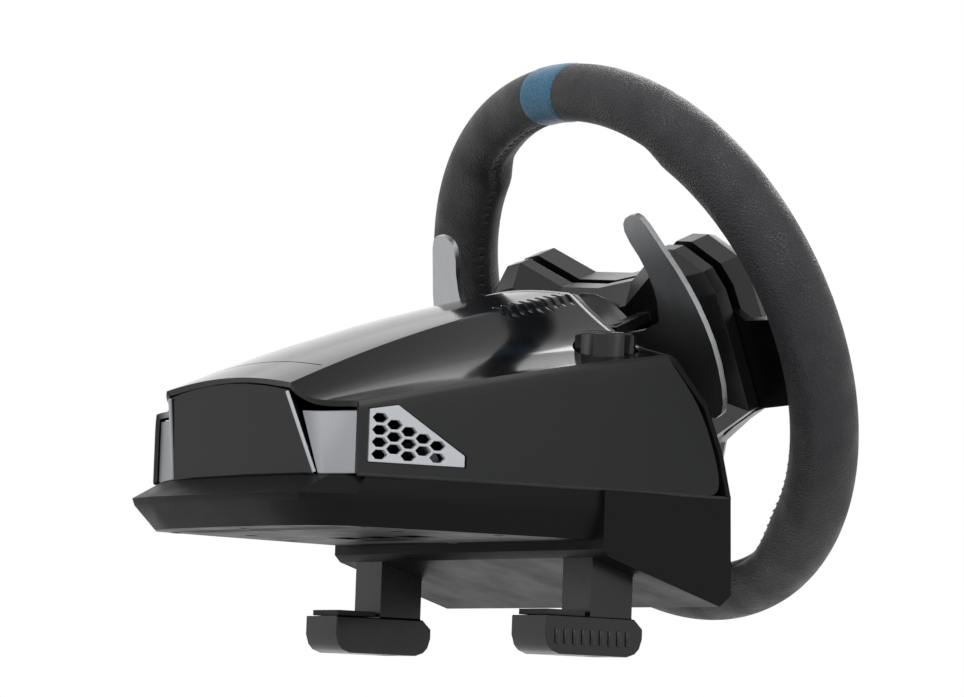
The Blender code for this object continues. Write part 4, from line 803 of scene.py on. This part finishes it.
# Controls and screws; outlines and screw places in millimetres
ARROW = ((0, 2.3), (-1.7, -0.7), (1.7, -0.7))
BAR = ((-1.6, -0.3), (1.6, -0.3), (1.6, 0.3), (-1.6, 0.3))
HUB_SCREWS = ((58, 30), (62, -14), (30, -36), (-58, 30), (-62, -14), (-30, -36))
TRAY_SCREWS = ((70, 84), (-70, 84), (76, 20), (-76, 20), (0, 96), (0, -12))
SCREW_DEPTH = 1.2 * MM
HUB_REACH = 50 * MM


class RACINGWHEEL_OT_controls(bpy.types.Operator):
    """Model the raised signs on the buttons, the ring round the hub cap and the screws"""
    bl_idname = "racing_wheel.controls"
    bl_label = "Controls"

    def execute(self, context):
        sizes = context.scene.racing_wheel_sizes
        self.pad_arrows()
        for name in ("plus_button", "minus_button"):
            self.sign(name)
        self.cap_ring()
        self.screws(sizes)
        return {'FINISHED'}

    def face_of(self, name):
        """The middle of a control's driver-side face, in the wheel's frame."""
        inverse = WHEEL_PLACE.inverted()
        points = [inverse @ vertex.co for vertex in NODES[name].data.vertices]
        low = Vector([min(p[i] for p in points) for i in range(3)])
        high = Vector([max(p[i] for p in points) for i in range(3)])
        middle = (low + high) / 2
        return Vector((middle.x, middle.y, high.z)), high - low

    def pad_arrows(self):
        face, span = self.face_of("direction_pad")
        arrow = extruded("arrow", [(x * MM, y * MM) for x, y in ARROW], -0.3 * MM, 0.25 * MM)
        reach = span.x / 2 - 4.0 * MM
        places = []
        for i in range(4):
            turn = Matrix.Rotation(i * math.pi / 2, 4, 'Z')
            out = Matrix.Translation((0, reach, 0))
            places.append(WHEEL_PLACE @ Matrix.Translation(face) @ turn @ out)
        dress(copies("direction_arrows", arrow, places), "direction_pad", "mark_print", "silver_plastic")

    def sign(self, name):
        face, _ = self.face_of(name)
        bar = extruded("bar", [(x * MM, y * MM) for x, y in BAR], -0.4 * MM, 0.2 * MM)
        turns = [0.0, math.pi / 2] if name == "plus_button" else [0.0]
        seat = WHEEL_PLACE @ Matrix.Translation(face)
        places = [seat @ Matrix.Rotation(turn, 4, 'Z') for turn in turns]
        dress(copies(name + "_sign", bar, places), name, "mark_print", "silver_plastic")

    def cap_ring(self):
        face, span = self.face_of("hub_cap")
        begin()
        bpy.ops.mesh.primitive_torus_add(major_radius=span.x / 2 + 0.5 * MM, minor_radius=0.7 * MM,
                                         major_segments=96, minor_segments=10)
        ring = settle(named("hub_cap_ring"), WHEEL_PLACE @ Matrix.Translation((0, 0, face.z - 5.0 * MM)))
        smooth(ring, 80)
        dress(ring, "steering", "silver_plastic", "silver_plastic")

    def screws(self, sizes):
        begin()
        bpy.ops.mesh.primitive_cylinder_add(vertices=24, radius=sizes.screw_radius, depth=SCREW_DEPTH)
        head = named("screw_head")
        edit(head, lambda: bpy.ops.mesh.bevel(offset=0.35 * MM, segments=2, affect='EDGES'))
        begin()
        bpy.ops.mesh.primitive_cylinder_add(vertices=6, radius=sizes.screw_radius * 0.5, depth=SCREW_DEPTH)
        socket = named("screw_socket")
        socket.data.transform(Matrix.Translation((0, 0, 0.5 * MM)))
        cut_by(head, socket)
        smooth(head, 30)
        inverse = WHEEL_PLACE.inverted()
        points = [inverse @ vertex.co for vertex in NODES["hub_back"].data.vertices]
        back = min(point.z for point in points if abs(point.x) > HUB_REACH)
        flip = Matrix.Rotation(math.pi, 4, 'X')
        places = [WHEEL_PLACE @ Matrix.Translation((x * MM, y * MM, back)) @ flip for x, y in HUB_SCREWS]
        twin = head.copy()
        twin.data = head.data.copy()
        bpy.context.scene.collection.objects.link(twin)
        dress(copies("hub_screws", head, places), "steering", "dark_aluminium", "dark_aluminium")
        places = [Matrix.Translation((x * MM, y * MM, 0.3 * MM)) @ flip for x, y in TRAY_SCREWS]
        dress(copies("tray_screws", twin, places), "base", "dark_aluminium", "dark_aluminium")


# Clamps
RIB_COUNT = 9


class RACINGWHEEL_OT_clamps(bpy.types.Operator):
    """Model the ribs on the clamp feet and the dished tops of the knobs"""
    bl_idname = "racing_wheel.clamps"
    bl_label = "Clamps"

    def execute(self, context):
        for side, sign in (("left", -1), ("right", 1)):
            self.ribs(side, sign)
            self.knob_top(side)
        return {'FINISHED'}

    def ribs(self, side, sign):
        low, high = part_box("clamp_jaw_" + side)
        begin()
        bpy.ops.mesh.primitive_cube_add(size=1.0)
        rib = named("rib")
        rib.data.transform(Matrix.Diagonal((1.2 * MM, 2.4 * MM, 6.5 * MM, 1.0)))
        edit(rib, lambda: bpy.ops.mesh.bevel(offset=0.45 * MM, segments=2, affect='EDGES'))
        smooth(rib, 40)
        face = high.x if sign > 0 else low.x
        start = low.y + 8 * MM
        pitch = (high.y - 6 * MM - start) / (RIB_COUNT - 1)
        height = low.z + 7.5 * MM
        places = [Matrix.Translation((face, start + i * pitch, height)) for i in range(RIB_COUNT)]
        ribs = copies("jaw_ribs_" + side, rib, places)
        dress(ribs, "clamp_jaw_" + side, "hub_black", "satin_black")

    def knob_top(self, side):
        low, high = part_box("clamp_knob_" + side)
        middle = (low + high) / 2
        radius = (high.x - low.x) / 2
        begin()
        bpy.ops.mesh.primitive_cylinder_add(vertices=48, radius=radius - 3 * MM, depth=1.2 * MM,
                                            location=(middle.x, middle.y, high.z))
        cap = named("knob_cap_" + side)

        def dish():
            bpy.ops.mesh.select_all(action='DESELECT')
            bpy.ops.object.mode_set(mode='OBJECT')
            for face in cap.data.polygons:
                face.select = face.normal.z > 0.9
            bpy.ops.object.mode_set(mode='EDIT')
            bpy.ops.mesh.inset(thickness=1.4 * MM, depth=-0.5 * MM)
        edit(cap, dish, 'FACE')
        settle(cap)
        modify(cap, "edge", 'BEVEL', width=0.25 * MM, segments=2, limit_method='ANGLE')
        smooth(cap, 35)
        dress(cap, "clamp_knob_" + side, "gloss_black", "gloss_black")


# Camera and light at the photograph's viewing angle
VIEW_AZIMUTH = math.radians(231.97)
VIEW_ELEVATION = math.radians(-4.85)
VIEW_ROLL = math.radians(2.0)
VIEW_DISTANCE = 2.2
PHOTO_WIDTH = 964
PHOTO_SCALE = 635.0       # photograph pixels to a metre at the wheel's centre
CLOSE_UP = 3.55           # how much nearer the object is drawn than in the photograph
FRAMING = Vector((0, 0.004, 0.002))
SENSOR_WIDTH = 36.0
FLOOR_Z = -1.4
LAMP_AIM = Vector((0, 0, 0.07))
# Lamps: name, place, size in metres, power in watts
LAMPS = (("key_light", (-1.3, 1.2, 2.2), 1.5, 27.0), ("side_light", (-2.6, -0.4, 0.9), 1.1, 9.0),
         ("rim_light", (1.2, -1.9, 1.6), 1.2, 22.0), ("front_light", (0.4, 2.4, 0.35), 0.8, 4.0),
         ("hood_card", (2.1, -1.4, 0.75), 1.5, 1.2), ("sky_card", (1.8, -1.0, 1.75), 1.3, 1.7))


def white_rays(tree):
    """1 for the rays that meet a white background: those of the camera, of mirrors and of glass."""
    path = node(tree, 'ShaderNodeLightPath').outputs
    straight = maths(tree, 'MAXIMUM', path["Is Camera Ray"], path["Is Transmission Ray"])
    return maths(tree, 'MAXIMUM', straight, path["Is Glossy Ray"])


class RACINGWHEEL_OT_stage(bpy.types.Operator):
    """Set up the camera, the pale floor, the backdrop and the soft lights"""
    bl_idname = "racing_wheel.stage"
    bl_label = "Stage"

    def execute(self, context):
        tones = context.scene.racing_wheel_colours
        self.camera(context.scene)
        self.floor(tones)
        self.lights()
        self.world(context.scene)
        context.scene.view_settings.view_transform = 'Standard'
        return {'FINISHED'}

    def camera(self, scene):
        back = Vector((math.sin(VIEW_AZIMUTH) * math.cos(VIEW_ELEVATION),
                       -math.cos(VIEW_AZIMUTH) * math.cos(VIEW_ELEVATION), math.sin(VIEW_ELEVATION)))
        position = WHEEL_CENTRE + back * VIEW_DISTANCE
        low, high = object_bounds()
        target = (low + high) / 2 + FRAMING
        away = (position - target).normalized()
        right = Vector((0, 0, 1)).cross(away).normalized()
        up = away.cross(right)
        level = math.cos(VIEW_ROLL)
        tilt = math.sin(VIEW_ROLL)
        right, up = right * level + up * tilt, up * level - right * tilt
        begin()
        bpy.ops.object.camera_add()
        camera = bpy.context.object
        camera.name = "photo_camera"
        turn = Matrix((right, up, away)).transposed().to_4x4()
        camera.matrix_world = Matrix.Translation(position) @ turn
        camera.data.sensor_width = SENSOR_WIDTH
        camera.data.lens = SENSOR_WIDTH * PHOTO_SCALE * VIEW_DISTANCE / PHOTO_WIDTH * CLOSE_UP
        camera.data.clip_start = 0.05
        camera.data.dof.use_dof = False
        scene.camera = camera

    def floor(self, tones):
        begin()
        bpy.ops.mesh.primitive_plane_add(size=14.0, location=(0, 0, FLOOR_Z))
        floor = named("floor")
        paper = bpy.data.materials.new("studio_paper")
        paper.use_nodes = True
        tree = paper.node_tree
        shader = tree.nodes["Principled BSDF"]
        shader.inputs["Base Color"].default_value = (*tones.paper, 1.0)
        shader.inputs["Roughness"].default_value = 0.9
        glow = node(tree, 'ShaderNodeEmission', {"Color": (1, 1, 1, 1), "Strength": 1.0})
        both = node(tree, 'ShaderNodeMixShader',
                    {0: white_rays(tree), 1: shader.outputs[0], 2: glow.outputs[0]})
        tree.links.new(both.outputs[0], tree.nodes["Material Output"].inputs["Surface"])
        floor.data.materials.append(paper)
        floor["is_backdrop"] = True

    def lights(self):
        for name, place, size, power in LAMPS:
            begin()
            bpy.ops.object.light_add(type='AREA', location=place)
            lamp = bpy.context.object
            lamp.name = name
            lamp.data.size = size
            lamp.data.energy = power
            lamp.rotation_mode = 'QUATERNION'
            lamp.rotation_quaternion = (LAMP_AIM - Vector(place)).to_track_quat('-Z', 'Y')

    def world(self, scene):
        scene.world = scene.world or bpy.data.worlds.new("studio")
        scene.world.use_nodes = True
        tree = scene.world.node_tree
        tree.nodes.clear()
        soft = node(tree, 'ShaderNodeBackground', {"Color": (0.9, 0.95, 1.0, 1), "Strength": 0.30})
        white = node(tree, 'ShaderNodeBackground', {"Color": (1, 1, 1, 1), "Strength": 1.0})
        both = node(tree, 'ShaderNodeMixShader',
                    {0: white_rays(tree), 1: soft.outputs[0], 2: white.outputs[0]})
        end = node(tree, 'ShaderNodeOutputWorld')
        tree.links.new(both.outputs[0], end.inputs["Surface"])


STEPS = (RACINGWHEEL_OT_finishes, RACINGWHEEL_OT_rim, RACINGWHEEL_OT_shell, RACINGWHEEL_OT_trim,
         RACINGWHEEL_OT_controls, RACINGWHEEL_OT_clamps, RACINGWHEEL_OT_stage)


class RACINGWHEEL_PT_panel(bpy.types.Panel):
    """The steps that dress the racing wheel, in order, and its sizes and colours"""
    bl_label = "Racing Wheel"
    bl_idname = "RACINGWHEEL_PT_panel"
    bl_space_type = 'VIEW_3D'
    bl_region_type = 'UI'
    bl_category = "Racing Wheel"

    def draw(self, context):
        for step in STEPS:
            self.layout.operator(step.bl_idname)
        for group in (context.scene.racing_wheel_sizes, context.scene.racing_wheel_colours):
            column = self.layout.column()
            for name in type(group).__annotations__:
                column.prop(group, name)


CLASSES = (RacingWheelSizes, RacingWheelColours, *STEPS, RACINGWHEEL_PT_panel)


def register():
    for item in CLASSES:
        bpy.utils.register_class(item)
    bpy.types.Scene.racing_wheel_sizes = bpy.props.PointerProperty(type=RacingWheelSizes)
    bpy.types.Scene.racing_wheel_colours = bpy.props.PointerProperty(type=RacingWheelColours)


def unregister():
    del bpy.types.Scene.racing_wheel_colours
    del bpy.types.Scene.racing_wheel_sizes
    for item in reversed(CLASSES):
        bpy.utils.unregister_class(item)


def main():
    register()
    bpy.ops.racing_wheel.finishes()
    bpy.ops.racing_wheel.rim()
    bpy.ops.racing_wheel.shell()
    bpy.ops.racing_wheel.trim()
    bpy.ops.racing_wheel.controls()
    bpy.ops.racing_wheel.clamps()
    bpy.ops.racing_wheel.stage()


if __name__ == "__main__":
    main()
